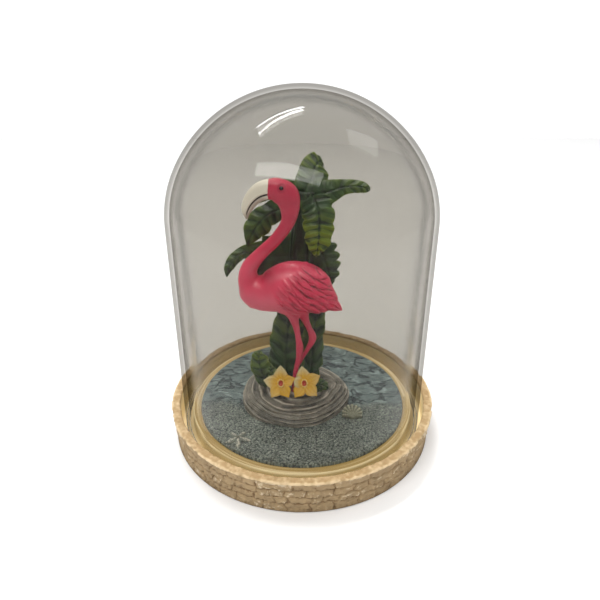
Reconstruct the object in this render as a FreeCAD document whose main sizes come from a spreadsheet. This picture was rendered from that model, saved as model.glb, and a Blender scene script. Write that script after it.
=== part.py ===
"""Glass dome display: a clear bell jar that lifts off a cast stone tray, over a painted resin wading bird
standing among leaves on a rock. Millimetres, +Z up, front at -Y, origin at the centre of the felt's underside."""

import math
import os

import FreeCAD
import Part
import Sketcher

V = FreeCAD.Vector

doc = FreeCAD.newDocument("GlassDomeDisplay")

# ---------------------------------------------------------------- driving dimensions
SIZES = {
    # glass dome
    "overall_height": 139.0,
    "dome_diameter": 100.0,
    "glass_wall": 1.8,
    "knuckle_inset": 8.0,
    "crown_offset": 9.0,
    "foot_round": 0.55,
    # stone tray
    "tray_height": 14.7,
    "rim_width": 4.0,
    "rim_round": 0.9,
    "wall_flare": 1.4,
    "channel_floor": 5.2,
    "outer_clearance": 1.6,
    "inner_clearance": 1.3,
    "plinth_height": 11.4,
    "ledge_width": 3.6,
    "ledge_round": 0.8,
    "joint_depth": 0.45,
    "joint_height": 0.9,
    # sea disc
    "disc_thickness": 3.0,
    "disc_recess": 1.8,
    "disc_gap": 0.1,
    "disc_round": 0.6,
    # felt pad
    "felt_thickness": 1.2,
    "felt_recess": 0.8,
    "felt_margin": 3.0,
    "felt_gap": 0.2,
    # dowels that key the rock to the disc and the tray
    "dowel_diameter": 2.4,
    "dowel_clearance": 0.05,
    "dowel_spacing": 14.0,
    "dowel_in_tray": 3.0,
    "dowel_in_rock": 3.6,
    # figure
    "headroom": 26.8,
    "figure_height": 97.8,
    "eye_diameter": 1.6,
    "eye_length": 2.1,
    "wire_diameter": 0.9,
    "wing_parting": 1.5,
    "shell_span": 7.6,
    "shell_thickness": 1.7,
    "shell_gap": 0.3,
    "star_span": 10.4,
    "star_thickness": 1.5,
    "star_share": 0.7,
}

sheet = doc.addObject("Spreadsheet::Sheet", "Sizes")
for row, (alias, value) in enumerate(SIZES.items(), start=1):
    sheet.set(f"A{row}", alias)
    sheet.set(f"B{row}", str(value))
    sheet.setAlias(f"B{row}", alias)
doc.recompute()


class Length:
    """A length worked out from the sheet: its expression, for the document, and its number, for Python."""

    def __init__(self, text, value):
        self.text = text
        self.value = value

    def join(self, sign, other):
        change = other.value if sign == "+" else -other.value
        return Length(f"({self.text} {sign} {other.text})", self.value + change)

    def __add__(self, other):
        return self.join("+", other)

    def __sub__(self, other):
        return self.join("-", other)

    def __mul__(self, factor):
        return Length(f"({self.text} * {factor})", self.value * factor)

    def ratio(self, other):
        return Length(f"({self.text} / {other.text})", self.value / other.value)


def size(alias):
    return Length(f"Sizes.{alias}", float(sheet.get(alias)))


# Lengths that follow from the driving ones.
dome_radius = size("dome_diameter") * 0.5
bore_radius = dome_radius - size("glass_wall")
rim_inner = dome_radius + size("outer_clearance")
rim_outer = rim_inner + size("rim_width")
plinth_radius = bore_radius - size("inner_clearance")
tray_foot = rim_outer - size("wall_flare")
tray_bottom = size("felt_thickness") - size("felt_recess")
felt_radius = tray_foot - size("felt_margin")
disc_radius = plinth_radius - size("ledge_width")
disc_seat = size("plinth_height") - size("disc_recess")
sea_level = disc_seat + size("disc_thickness")
dowel_hole = size("dowel_diameter") * 0.5 + size("dowel_clearance")
dowel_reach = size("dowel_spacing") * 0.5

# The figure is drawn 97.8 mm tall and scaled to leave the headroom under the crown.
figure_top = size("overall_height") - size("glass_wall") - size("headroom")
figure_scale = (figure_top - sea_level).ratio(size("figure_height"))


def at(x, y, up):
    """A point of the figure: x and y from the dome's axis and up from the sea, in the figure's own size."""
    return V(x, y, up) * figure_scale.value + V(0, 0, sea_level.value)


# ---------------------------------------------------------------- PartDesign helpers
def new_body(label):
    body = doc.addObject("PartDesign::Body", label)
    body.Label = label
    return body


def new_sketch(body, name, role, lift=None):
    """A sketch on one of the body's own origin planes, raised by the length lift."""
    sketch = body.newObject("Sketcher::SketchObject", name)
    plane = next(f for f in body.Origin.OriginFeatures if f.Role == role)
    sketch.AttachmentSupport = (plane, [""])
    sketch.MapMode = "FlatFace"
    if lift:
        sketch.setExpression("AttachmentOffset.Base.z", lift.text)
    return sketch


def bind(sketch, kind, refs, length):
    """Adds a constraint and ties its value to a length's expression."""
    sketch.addConstraint(Sketcher.Constraint(kind, *refs, length.value))
    sketch.setExpression(f"Constraints[{sketch.ConstraintCount - 1}]", length.text)


def outline(sketch, corners):
    """A closed outline of straight lines through corners (x, y), each a Length, or None on the axis."""
    count = len(corners)
    spots = [V(x.value if x else 0, y.value if y else 0, 0) for x, y in corners]
    for i in range(count):
        sketch.addGeometry(Part.LineSegment(spots[i], spots[(i + 1) % count]), False)
    for i in range(count):
        sketch.addConstraint(Sketcher.Constraint("Coincident", i, 2, (i + 1) % count, 1))
    for i, corner in enumerate(corners):
        for kind, axis, length in zip(("DistanceX", "DistanceY"), (-2, -1), corner):
            if length:
                bind(sketch, kind, (-1, 1, i, 1), length)
            else:
                sketch.addConstraint(Sketcher.Constraint("PointOnObject", i, 1, axis))


def circle(sketch, x, radius):
    """A circle of a bound radius whose centre stands on the horizontal axis at x, or at the origin."""
    sketch.addGeometry(Part.Circle(V(x.value if x else 0, 0, 0), V(0, 0, 1), radius.value), False)
    index = sketch.GeometryCount - 1
    bind(sketch, "Radius", (index,), radius)
    if x:
        sketch.addConstraint(Sketcher.Constraint("PointOnObject", index, 3, -1))
        bind(sketch, "DistanceX", (-1, 1, index, 3), x)
    else:
        sketch.addConstraint(Sketcher.Constraint("Coincident", index, 3, -1, 1))


def revolve(body, sketch, name, kind="Revolution"):
    feature = body.newObject(f"PartDesign::{kind}", name)
    feature.Profile = sketch
    feature.ReferenceAxis = (sketch, ["V_Axis"])
    feature.Angle = 360
    doc.recompute()
    return feature


def round_edges(body, base, name, radius, wanted):
    """A fillet on the circular edges of base that stand at one of the wanted (radius, height) places."""
    found = []
    for i, edge in enumerate(base.Shape.Edges, start=1):
        if edge.Degenerated or edge.Curve.TypeId != "Part::GeomCircle":
            continue
        for wide, height in wanted:
            near = abs(edge.Curve.Radius - wide.value) + abs(edge.Curve.Center.z - height.value)
            if near < 0.02:
                found.append(f"Edge{i}")
    fillet = body.newObject("PartDesign::Fillet", name)
    fillet.Base = (base, sorted(set(found)))
    fillet.setExpression("Radius", radius.text)
    doc.recompute()
    return fillet


def pocket(body, sketch, name, depth):
    """A pocket of a bound depth, refused if it cuts nothing."""
    before = body.Shape.Volume
    feature = body.newObject("PartDesign::Pocket", name)
    feature.Profile = sketch
    feature.setExpression("Length", depth.text)
    doc.recompute()
    if body.Shape.Volume > before - 0.1:
        raise RuntimeError(f"{name} cuts nothing")
    return feature


# ---------------------------------------------------------------- glass dome
def make_glass_dome():
    """A blown dome of even wall: straight sides, a knuckle arc, a crown arc and a fire-polished foot."""
    radius = dome_radius.value
    wall = size("glass_wall").value
    foot = size("channel_floor").value
    top = size("overall_height").value
    inset = size("knuckle_inset").value
    reach = size("crown_offset").value
    knuckle = radius - inset
    crown = knuckle + reach
    crown_z = top - crown
    shoulder = crown_z + math.sqrt(reach**2 - inset**2)
    turn = math.atan2(shoulder - crown_z, inset)
    quarter = math.pi / 2

    body = new_body("glass_dome")
    sketch = new_sketch(body, "dome_profile", "XZ_Plane")

    def line(x0, z0, x1, z1):
        sketch.addGeometry(Part.LineSegment(V(x0, z0, 0), V(x1, z1, 0)), False)

    def arc(x, z, r, start, end):
        sketch.addGeometry(Part.ArcOfCircle(Part.Circle(V(x, z, 0), V(0, 0, 1), r), start, end), False)

    line(radius, foot, radius, shoulder)
    arc(inset, shoulder, knuckle, 0, turn)
    arc(0, crown_z, crown, turn, quarter)
    line(0, top, 0, top - wall)
    arc(0, crown_z, crown - wall, turn, quarter)
    arc(inset, shoulder, knuckle - wall, 0, turn)
    line(radius - wall, shoulder, radius - wall, foot)
    line(radius - wall, foot, radius, foot)
    side, knuckle_out, crown_out, axis, crown_in, knuckle_in, side_in, foot_line = range(8)
    for kind, *refs in (
        ("Tangent", side, 2, knuckle_out, 1),
        ("Tangent", knuckle_out, 2, crown_out, 1),
        ("Coincident", crown_out, 2, axis, 1),
        ("Coincident", axis, 2, crown_in, 2),
        ("Tangent", crown_in, 1, knuckle_in, 2),
        ("Tangent", knuckle_in, 1, side_in, 1),
        ("Coincident", side_in, 2, foot_line, 1),
        ("Coincident", foot_line, 2, side, 1),
        ("Coincident", crown_out, 3, crown_in, 3),
        ("Coincident", knuckle_out, 3, knuckle_in, 3),
        ("PointOnObject", crown_out, 3, -2),
        ("PointOnObject", axis, 1, -2),
        ("PointOnObject", axis, 2, -2),
    ):
        sketch.addConstraint(Sketcher.Constraint(kind, *refs))
    bind(sketch, "DistanceX", (-1, 1, foot_line, 2), dome_radius)
    bind(sketch, "DistanceX", (-1, 1, foot_line, 1), bore_radius)
    bind(sketch, "DistanceY", (-1, 1, foot_line, 2), size("channel_floor"))
    bind(sketch, "DistanceY", (-1, 1, foot_line, 1), size("channel_floor"))
    bind(sketch, "DistanceY", (-1, 1, axis, 1), size("overall_height"))
    bind(sketch, "DistanceX", (-1, 1, knuckle_out, 3), size("knuckle_inset"))
    bind(sketch, "Radius", (crown_out,), dome_radius - size("knuckle_inset") + size("crown_offset"))
    doc.recompute()
    blown = revolve(body, sketch, "blown_wall")
    places = [(dome_radius, size("channel_floor")), (bore_radius, size("channel_floor"))]
    round_edges(body, blown, "fire_polish", size("foot_round"), places)
    return body


# ---------------------------------------------------------------- tray, sea disc, felt
def make_base_tray():
    """The cast stone tray: flared wall, rim, channel for the dome's foot, and plinth with the disc's recess."""
    felt_pocket = felt_radius + size("felt_gap")
    disc_pocket = disc_radius + size("disc_gap")
    height = size("tray_height")
    body = new_body("base_tray")
    sketch = new_sketch(body, "tray_profile", "XZ_Plane")
    corners = [
        (None, size("felt_thickness")),
        (felt_pocket, size("felt_thickness")),
        (felt_pocket, tray_bottom),
        (tray_foot, tray_bottom),
        (rim_outer, height),
        (rim_inner, height),
        (rim_inner, size("channel_floor")),
        (plinth_radius, size("channel_floor")),
        (plinth_radius, size("plinth_height")),
        (disc_pocket, size("plinth_height")),
        (disc_pocket, disc_seat),
        (None, disc_seat),
    ]
    outline(sketch, corners)
    doc.recompute()
    turned = revolve(body, sketch, "turned_tray")
    rim_edges = [(rim_outer, height), (rim_inner, height)]
    rim = round_edges(body, turned, "rim_rounding", size("rim_round"), rim_edges)
    round_edges(body, rim, "ledge_rounding", size("ledge_round"), [(plinth_radius, size("plinth_height"))])

    courses = 3
    for course in range(1, courses):
        level = tray_bottom + (height - tray_bottom) * (course / courses)
        wall = tray_foot + size("wall_flare") * (course / courses)
        half = size("joint_height") * 0.5
        joint = new_sketch(body, f"course_joint_{course}_profile", "XZ_Plane")
        bottom = (wall - size("joint_depth"), level)
        outline(joint, [bottom, (wall + half, level - half), (wall + half, level + half)])
        doc.recompute()
        before = body.Shape.Volume
        revolve(body, joint, f"course_joint_{course}", "Groove")
        if body.Shape.Volume > before - 0.1:
            raise RuntimeError("a course joint cuts nothing")

    holes = new_sketch(body, "dowel_seats", "XY_Plane", lift=disc_seat)
    for side in (-1, 1):
        circle(holes, dowel_reach * side, dowel_hole)
    doc.recompute()
    pocket(body, holes, "dowel_pockets", size("dowel_in_tray"))
    return body


def make_round_plate(label, radius, low, thickness):
    """A flat round plate on the dome's axis."""
    body = new_body(label)
    sketch = new_sketch(body, f"{label}_outline", "XY_Plane", lift=low)
    circle(sketch, None, radius)
    pad = body.newObject("PartDesign::Pad", f"{label}_pad")
    pad.Profile = sketch
    pad.setExpression("Length", thickness.text)
    doc.recompute()
    return body


def make_sea_disc():
    """The sculpted sea bed, a disc set in the plinth's recess, with two holes for the dowels."""
    body = make_round_plate("sea_disc", disc_radius, disc_seat, size("disc_thickness"))
    round_edges(body, body.Tip, "disc_rounding", size("disc_round"), [(disc_radius, sea_level)])
    holes = new_sketch(body, "dowel_holes", "XY_Plane", lift=sea_level)
    for side in (-1, 1):
        circle(holes, dowel_reach * side, dowel_hole)
    doc.recompute()
    pocket(body, holes, "dowel_passages", size("disc_thickness"))
    return body


def primitive(kind, name, **bound):
    """A Part primitive whose properties are tied to lengths; base_x, base_y and base_z set its place."""
    piece = doc.addObject(f"Part::{kind}", name)
    for key, length in bound.items():
        prop = f"Placement.Base.{key[-1]}" if key.startswith("base_") else key
        piece.setExpression(prop, length.text)
    return piece


def group(label, pieces):
    """Several solids of one kind in one node."""
    together = doc.addObject("Part::Compound", label)
    together.Links = pieces
    together.Label = label
    doc.recompute()
    return together


def make_dowels():
    """Two steel dowels from the plinth through the disc into the rock, kept in one node."""
    length = size("dowel_in_tray") + size("disc_thickness") + size("dowel_in_rock")
    pins = []
    for side, name in ((-1, "left_dowel"), (1, "right_dowel")):
        pins.append(
            primitive(
                "Cylinder",
                name,
                Radius=size("dowel_diameter") * 0.5,
                Height=length,
                base_x=dowel_reach * side,
                base_z=disc_seat - size("dowel_in_tray"),
            )
        )
    return group("figure_dowels", pins)


# ---------------------------------------------------------------- rock and stem, lofted through ellipses
def lofted_ellipses(label, stations):
    """A Part::Loft through level ellipses. Each station is (x, y, up, half width, half depth)."""
    rings = []
    for i, (x, y, up, wide, deep) in enumerate(stations):
        ring = doc.addObject("Part::Ellipse", f"{label}_ring_{i}")
        ring.MajorRadius = wide
        ring.MinorRadius = deep
        ring.setExpression("MajorRadius", (figure_scale * wide).text)
        ring.setExpression("MinorRadius", (figure_scale * deep).text)
        ring.setExpression("Placement.Base.x", (figure_scale * x).text)
        ring.setExpression("Placement.Base.y", (figure_scale * y).text)
        ring.setExpression("Placement.Base.z", (sea_level + figure_scale * up).text)
        rings.append(ring)
    loft = doc.addObject("Part::Loft", f"{label}_loft")
    loft.Sections = rings
    loft.Solid = True
    doc.recompute()
    return loft


ROCK = [
    (-3.0, -2.0, 0.0, 23.0, 20.4),
    (-3.0, -2.0, 2.6, 23.0, 20.4),
    (-3.0, -1.9, 4.8, 21.6, 19.2),
    (-3.0, -1.6, 6.4, 18.8, 16.8),
    (-3.0, -1.2, 7.4, 14.6, 13.4),
]

STEM = [
    (-2.6, 6.4, 6.8, 8.2, 6.2),
    (-2.6, 6.4, 22.0, 7.4, 5.6),
    (-1.2, 6.4, 42.0, 6.6, 5.2),
    (0.8, 6.4, 62.0, 6.0, 5.0),
    (1.8, 6.2, 78.0, 5.6, 4.8),
    (2.0, 6.0, 88.0, 4.2, 4.0),
]


def make_rock():
    """The water-worn rock, with blind holes for the two dowels."""
    loft = lofted_ellipses("rock", ROCK)
    drills = []
    for side, name in ((-1, "left_drill"), (1, "right_drill")):
        drills.append(
            primitive(
                "Cylinder",
                name,
                Radius=dowel_hole,
                Height=size("dowel_in_rock"),
                base_x=dowel_reach * side,
                base_z=sea_level,
            )
        )
    both = doc.addObject("Part::MultiFuse", "rock_drills")
    both.Shapes = drills
    rock = doc.addObject("Part::Cut", "rock_bored")
    rock.Base = loft
    rock.Tool = both
    rock.Label = "rock"
    doc.recompute()
    return rock


def rock_reach(bearing):
    """How far from the dome's axis the rock's foot reaches along a bearing."""
    x, y, _, wide, deep = (figure_scale.value * value for value in ROCK[0])
    across = math.cos(bearing)
    along = math.sin(bearing)
    a = (across / wide) ** 2 + (along / deep) ** 2
    b = across * x / wide**2 + along * y / deep**2
    c = (x / wide) ** 2 + (y / deep) ** 2 - 1
    return (b + math.sqrt(b * b - a * c)) / a


# ---------------------------------------------------------------- free-form castings
def unit(vector):
    length = vector.Length
    return V(vector.x / length, vector.y / length, vector.z / length)


RING_POLES = 8
RING_GAIN = 3 / (2 + math.cos(2 * math.pi / RING_POLES))


def ring_wire(centre, side, lift, wide, thick, cup=0.0):
    """A closed smooth section: half sizes wide along side and thick along lift, its edges raised by cup.
    Every section has the same evenly spaced knots. Its poles stand out by the gain that the curve pulls in."""
    poles = []
    for i in range(RING_POLES):
        angle = 2 * math.pi * (i + 0.5) / RING_POLES
        across = RING_GAIN * math.cos(angle)
        rise = RING_GAIN * math.sin(angle)
        poles.append(centre + side * (wide * across) + lift * (thick * rise + cup * across**2))
    curve = Part.BSplineCurve()
    curve.buildFromPoles(poles, True, 3)
    return Part.Wire([curve.toShape()])


def tangent_at(points, i):
    before = points[max(i - 1, 0)]
    after = points[min(i + 1, len(points) - 1)]
    return unit(after - before)


def skin(sections, ruled=False):
    """A closed solid through the sections, its volume positive."""
    solid = Part.makeLoft(sections, True, ruled)
    if solid.Volume < 0:
        solid.reverse()
    return solid


def limb(stations, ruled=False):
    """A rounded limb along stations (x, y, up, half height, half depth). One with no half sizes is a tip."""
    points = [at(*station[:3]) for station in stations]
    depth = V(0, 1, 0)
    sections = []
    for i, station in enumerate(stations):
        if len(station) == 3:
            sections.append(Part.Vertex(points[i]))
            continue
        lift = unit(tangent_at(points, i).cross(depth))
        high = station[3] * figure_scale.value
        deep = station[4] * figure_scale.value
        sections.append(ring_wire(points[i], depth, lift, deep, high))
    return skin(sections, ruled)


def leaf(stations, face, thick=1.0, cup=0.8):
    """A leaf blade along stations (x, y, up, half width), facing the direction face. The last one is the tip."""
    points = [at(*station[:3]) for station in stations]
    sections = []
    for i, station in enumerate(stations):
        if len(station) == 3:
            sections.append(Part.Vertex(points[i]))
            continue
        along = tangent_at(points, i)
        side = unit(along.cross(V(*face)))
        lift = unit(side.cross(along))
        wide = station[3] * figure_scale.value
        bend = -cup * figure_scale.value * min(1.0, station[3] / 4)
        sections.append(ring_wire(points[i], side, lift, wide, thick * figure_scale.value, bend))
    return skin(sections)


# The eyes' place on the head's middle plane, and how far out their shanks start.
EYE = (-7.2, -6.0, 92.9)
EYE_SEAT = 1.4


def eye_bead(side):
    """A bead with a rounded face and a straight shank, set into the head from one side."""
    radius = size("eye_diameter").value / 2
    shank = size("eye_length").value
    x, y, up = EYE
    back = at(x, y + side * EYE_SEAT, up)
    bead = Part.makeCylinder(radius, shank, back, V(0, side, 0))
    socket = bead.copy()
    front = max(bead.Edges, key=lambda e: side * e.CenterOfMass.y)
    return bead.makeFillet(radius * 0.6, [front]), socket


TORSO = [
    (-24.2, -6.0, 53.6),
    (-23.2, -6.0, 53.3, 3.0, 2.7),
    (-21.2, -6.0, 52.8, 5.0, 4.6),
    (-17.6, -6.0, 51.9, 6.5, 6.1),
    (-14.0, -6.0, 51.6, 7.3, 7.2),
    (-10.0, -6.0, 52.5, 9.1, 8.2),
    (-5.0, -6.0, 53.3, 10.5, 8.7),
    (0.0, -6.0, 53.4, 10.4, 8.5),
    (4.0, -6.0, 52.5, 8.9, 7.6),
    (7.5, -6.0, 50.4, 6.9, 6.2),
    (10.5, -6.0, 48.8, 4.2, 4.2),
    (12.6, -6.0, 47.8, 2.5, 2.6),
    (13.8, -6.0, 47.2),
]

WING = [
    (-11.0, -6.0, 53.4, 6.6, 8.4),
    (-8.0, -6.0, 53.6, 8.6, 9.3),
    (-3.0, -6.0, 53.6, 9.9, 9.9),
    (3.0, -6.0, 52.4, 8.9, 9.3),
    (8.0, -6.0, 50.2, 6.4, 7.2),
    (12.0, -6.0, 48.2, 3.4, 4.2),
    (14.6, -6.0, 46.9),
]

TAIL = [
    (7.0, -6.0, 49.2, 3.6, 3.9),
    (10.5, -6.0, 47.4, 3.0, 3.3),
    (13.4, -6.0, 45.6, 1.9, 2.1),
    (15.9, -6.0, 43.9),
]

NECK_AND_HEAD = [
    (-18.2, -6.0, 50.4, 4.4, 4.3),
    (-20.2, -6.0, 55.8, 4.2, 4.1),
    (-19.9, -6.0, 61.6, 3.2, 3.1),
    (-15.5, -6.0, 67.3, 2.45, 2.4),
    (-9.7, -6.0, 73.0, 2.3, 2.3),
    (-5.4, -6.0, 79.2, 2.5, 2.5),
    (-4.4, -6.0, 84.6, 3.5, 3.1),
    (-5.5, -6.0, 89.4, 4.6, 3.6),
    (-8.8, -6.0, 91.6, 4.3, 3.3),
    (-12.0, -6.0, 91.9, 3.5, 2.6),
]

BILL = [
    (-10.6, -6.0, 92.0, 3.3, 2.4),
    (-12.4, -6.0, 91.8, 3.4, 2.5),
    (-15.4, -6.0, 90.6, 3.2, 2.3),
    (-18.4, -6.0, 87.6, 2.6, 1.9),
    (-20.0, -6.0, 84.0, 1.8, 1.3),
    (-20.0, -6.0, 80.8),
]

STANDING_LEG = [
    (-3.6, -6.6, 43.6, 3.0, 2.6),
    (-3.1, -6.8, 40.6, 2.0, 1.8),
    (-2.2, -7.0, 36.6, 1.2, 1.2),
    (-1.1, -7.0, 31.0, 1.15, 1.15),
    (-0.8, -7.0, 27.0, 1.45, 1.4),
    (-1.4, -7.0, 22.0, 1.15, 1.15),
    (-2.6, -7.0, 16.0, 1.0, 1.0),
    (-3.4, -7.0, 6.2, 1.1, 1.1),
]

BENT_LEG = [
    (-0.4, -4.6, 43.2, 2.2, 2.0),
    (1.2, -4.4, 39.2, 1.5, 1.4),
    (2.9, -4.4, 35.0, 1.15, 1.15),
    (4.4, -4.4, 30.4, 1.45, 1.4),
    (2.6, -4.4, 26.0, 0.95, 0.95),
    (0.6, -4.5, 22.4, 0.8, 0.8),
    (-1.2, -4.6, 18.6, 0.75, 0.75),
]

# Each leaf: its blade's stations, the way it faces, and its half thickness.
LEAVES = {
    "crown_leaf_top": (
        [(2.0, 5.6, 83.0, 5.8), (2.2, 6.0, 88.6, 6.2), (3.0, 7.2, 92.8, 6.1), (3.9, 9.2, 95.4, 5.5),
         (4.3, 11.6, 95.9, 4.3), (4.5, 13.6, 95.0)],
        (0, -1, 0.1), 0.9,
    ),
    "crown_leaf_right": (
        [(2.0, 4.6, 85.4, 5.4), (7.0, 4.2, 87.2, 5.3), (11.5, 4.0, 88.8, 4.1), (16.0, 3.8, 90.2, 2.6),
         (21.0, 3.4, 90.4, 1.9), (25.4, 3.0, 89.6)],
        (0, -1, 0.25), 0.8,
    ),
    "crown_leaf_left": (
        [(0.0, 6.6, 87.0, 3.8), (-6.5, 7.0, 88.6, 3.6), (-12.0, 6.8, 87.0, 2.5), (-17.0, 6.4, 83.2)],
        (0, -1, 0.3), 0.8,
    ),
    "upper_leaf_left": (
        [(-1.0, 6.2, 80.0, 5.6), (-7.4, 6.0, 79.6, 5.9), (-13.0, 5.4, 77.2, 5.9), (-17.6, 5.0, 72.8, 4.6),
         (-21.8, 4.6, 66.4)],
        (-0.1, -1, 0.15), 0.8,
    ),
    "hooked_leaf_left": (
        [(-3.0, 6.4, 61.6, 9.6), (-10.2, 5.6, 61.8, 8.4), (-16.8, 5.2, 63.4, 4.8), (-22.4, 4.9, 63.8, 3.0),
         (-26.8, 4.7, 61.0, 2.4), (-29.2, 4.4, 57.6, 1.9), (-30.3, 4.2, 53.4)],
        (0, -1, 0.15), 0.8,
    ),
    "drooping_leaf": (
        [(4.0, 2.6, 87.0, 5.2), (6.0, 0.2, 82.0, 5.9), (6.4, -1.2, 75.6, 5.5), (6.0, -1.4, 69.0, 4.2),
         (5.4, -0.6, 63.8)],
        (0.1, -1, 0), 0.8,
    ),
    "scalloped_leaf": (
        [(4.6, 3.6, 70.0, 5.0), (7.2, 3.4, 65.0, 5.9), (9.2, 3.6, 59.6, 5.6), (10.8, 3.8, 54.4, 4.0),
         (11.8, 4.0, 49.6)],
        (0.1, -1, 0), 0.8,
    ),
    "tall_leaf_left": (
        [(-5.6, -0.4, 7.0, 5.0), (-6.6, -1.0, 15.0, 7.2), (-6.4, -1.0, 24.0, 7.4), (-5.6, -0.2, 33.0, 6.6),
         (-4.6, 0.6, 42.0, 4.6), (-4.0, 1.4, 48.0)],
        (-0.2, -1, 0), 0.9,
    ),
    "tall_leaf_right": (
        [(3.0, 0.0, 7.0, 3.6), (3.8, -0.6, 15.0, 4.8), (4.4, -0.4, 25.0, 4.8), (5.2, 0.4, 35.0, 4.4),
         (6.2, 1.2, 43.0, 3.2), (6.8, 2.0, 48.6)],
        (0.25, -1, 0), 0.9,
    ),
    "side_leaf_left": (
        [(-12.4, -4.6, 6.0, 3.0), (-15.6, -4.0, 11.0, 4.3), (-17.4, -3.4, 16.6, 4.5), (-17.8, -2.6, 21.2, 3.0),
         (-17.4, -2.2, 23.6)],
        (-0.3, -1, 0.2), 0.8,
    ),
    "side_leaf_right": (
        [(3.4, -5.4, 6.6, 2.2), (6.4, -6.8, 9.2, 2.8), (9.0, -7.6, 9.6, 2.3), (11.2, -8.2, 8.2)],
        (0.1, -1, 0.9), 0.8,
    ),
    "small_leaf_left": (
        [(-9.0, -5.8, 6.8, 1.8), (-11.0, -5.6, 11.0, 2.4), (-12.4, -5.0, 15.0, 2.0), (-13.0, -4.6, 18.0)],
        (-0.1, -1, 0.2), 0.7,
    ),
    "back_leaf_upper": (
        [(1.6, 8.0, 86.0, 4.8), (1.2, 13.4, 86.4, 5.8), (0.6, 18.8, 82.4, 5.4), (0.2, 22.0, 76.0, 3.6),
         (0.0, 23.4, 70.4)],
        (0, 1, 1), 0.8,
    ),
    "back_leaf_lower": (
        [(-3.0, 12.6, 6.8, 5.2), (-3.4, 13.2, 17.0, 7.4), (-3.0, 12.8, 28.0, 7.2), (-2.0, 12.2, 39.0, 5.4),
         (-1.2, 11.8, 47.0)],
        (0, 1, 0), 0.9,
    ),
    "back_leaf_middle": (
        [(0.0, 11.4, 44.0, 4.4), (0.8, 12.2, 52.0, 6.2), (1.4, 12.0, 61.0, 5.8), (1.8, 11.6, 69.0, 3.8),
         (2.0, 11.4, 75.0)],
        (0, 1, 0), 0.8,
    ),
}

# Each flower: its heart, and (angle, length) of its petals, seen from the front.
FLOWER_FACING = V(0, -0.82, 0.57)
FLOWERS = {
    "left": ((-8.6, -10.6, 12.9), ((92, 6.8), (174, 6.9), (238, 6.6), (300, 6.4), (14, 6.0))),
    "right": ((0.9, -10.8, 13.0), ((100, 6.6), (28, 6.9), (-42, 7.0), (236, 6.6), (168, 3.4))),
}
CUP_RADIUS = 1.5
HEART_RADIUS = 1.3
HEART_TAPER = 0.5
HEART_HEIGHT = 1.9
HEART_SEAT = 0.6


def petal(centre, angle, length):
    """One petal: narrow at the heart, widest past its middle, pointed, and cupped forwards."""
    across = V(1, 0, 0)
    up = unit(FLOWER_FACING.cross(across))
    turn = math.radians(angle)
    along = across * math.cos(turn) + up * math.sin(turn)
    side = unit(along.cross(FLOWER_FACING))
    reach = length * figure_scale.value
    shape = ((0.08, 0.13, 0.0), (0.32, 0.25, 0.05), (0.62, 0.31, 0.09), (0.86, 0.19, 0.10))
    sections = []
    for share, wide, rise in shape:
        point = centre + along * (reach * share) + FLOWER_FACING * (reach * rise)
        sections.append(ring_wire(point, side, FLOWER_FACING, wide * reach, 0.075 * reach, 0.06 * reach))
    sections.append(Part.Vertex(centre + along * reach + FLOWER_FACING * (reach * 0.08)))
    return skin(sections)


def make_flower(side):
    """A flower's joined petals and its heart, a short cone that stands in the middle of them."""
    place, petals = FLOWERS[side]
    centre = at(*place)
    scale = figure_scale.value
    cup = Part.makeSphere(CUP_RADIUS * scale, centre)
    whole = cup.multiFuse([petal(centre, angle, length) for angle, length in petals])
    base = centre + FLOWER_FACING * (HEART_SEAT * scale)
    heart = Part.makeCone(
        HEART_RADIUS * scale, HEART_RADIUS * HEART_TAPER * scale, HEART_HEIGHT * scale, base, FLOWER_FACING
    )
    return whole, heart


# Each sea creature's bearing from the axis, in radians, and its turn in degrees.
SHELL_PLACE = (math.radians(-34), 20)
STAR_PLACE = (math.radians(-130), 25)
SHELL_RIBS = 9
SHELL_FAN = (math.radians(-38), math.radians(256))


def make_shell():
    """A scallop: a fan with a wavy edge, domed over the sea bed."""
    span = size("shell_span").value
    thick = size("shell_thickness").value
    start, sweep = SHELL_FAN
    outer = []
    for i in range(SHELL_RIBS * 4 + 1):
        share = i / (SHELL_RIBS * 4)
        angle = start + sweep * share
        reach = span / 2 * (1 + 0.035 * math.cos(2 * math.pi * SHELL_RIBS * share))
        outer.append(V(reach * math.cos(angle), reach * math.sin(angle), 0))
    hinge = V(0, -span * 0.46, 0)
    curve = Part.BSplineCurve()
    curve.interpolate(outer)
    wire = Part.Wire([curve.toShape(), Part.makeLine(outer[-1], hinge), Part.makeLine(hinge, outer[0])])
    plate = Part.Face(wire).extrude(V(0, 0, thick))
    bulge = 1.12 * (span**2 / (8 * thick) + thick / 2)
    ball = Part.makeSphere(bulge, V(0, 0, thick - bulge))
    return plate.common(ball)


def make_star():
    """A five-armed starfish with blunt arms and a raised middle."""
    reach = size("star_span").value / 2
    thick = size("star_thickness").value
    points = []
    for i in range(10):
        angle = math.pi / 2 + math.pi * i / 5
        far = reach if i % 2 == 0 else reach * 0.38
        points.append(V(far * math.cos(angle), far * math.sin(angle), 0))
    plate = Part.Face(Part.makePolygon(points + [points[0]])).extrude(V(0, 0, thick))
    ball = Part.makeSphere(reach * 2.2, V(0, 0, thick - reach * 2.2))
    cone = Part.makeCone(reach * 1.25, 0.4, thick)
    return plate.common(ball).common(cone)


def place_on_sea(shape, bearing, distance, spin):
    """Moves a shape onto the sea bed, at a bearing and distance from the axis, turned by spin."""
    spot = V(distance * math.cos(bearing), distance * math.sin(bearing), sea_level.value)
    moved = shape.copy()
    moved.Placement = FreeCAD.Placement(spot, FreeCAD.Rotation(V(0, 0, 1), spin))
    return moved


def largest(shape):
    """The largest solid of a shape, as one clean solid."""
    return max(shape.Solids, key=lambda s: s.Volume)


def tight_box(shape):
    """A box round the shape itself: a spline surface's own box also takes in its poles."""
    return shape.optimalBoundingBox(False, False)


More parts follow.
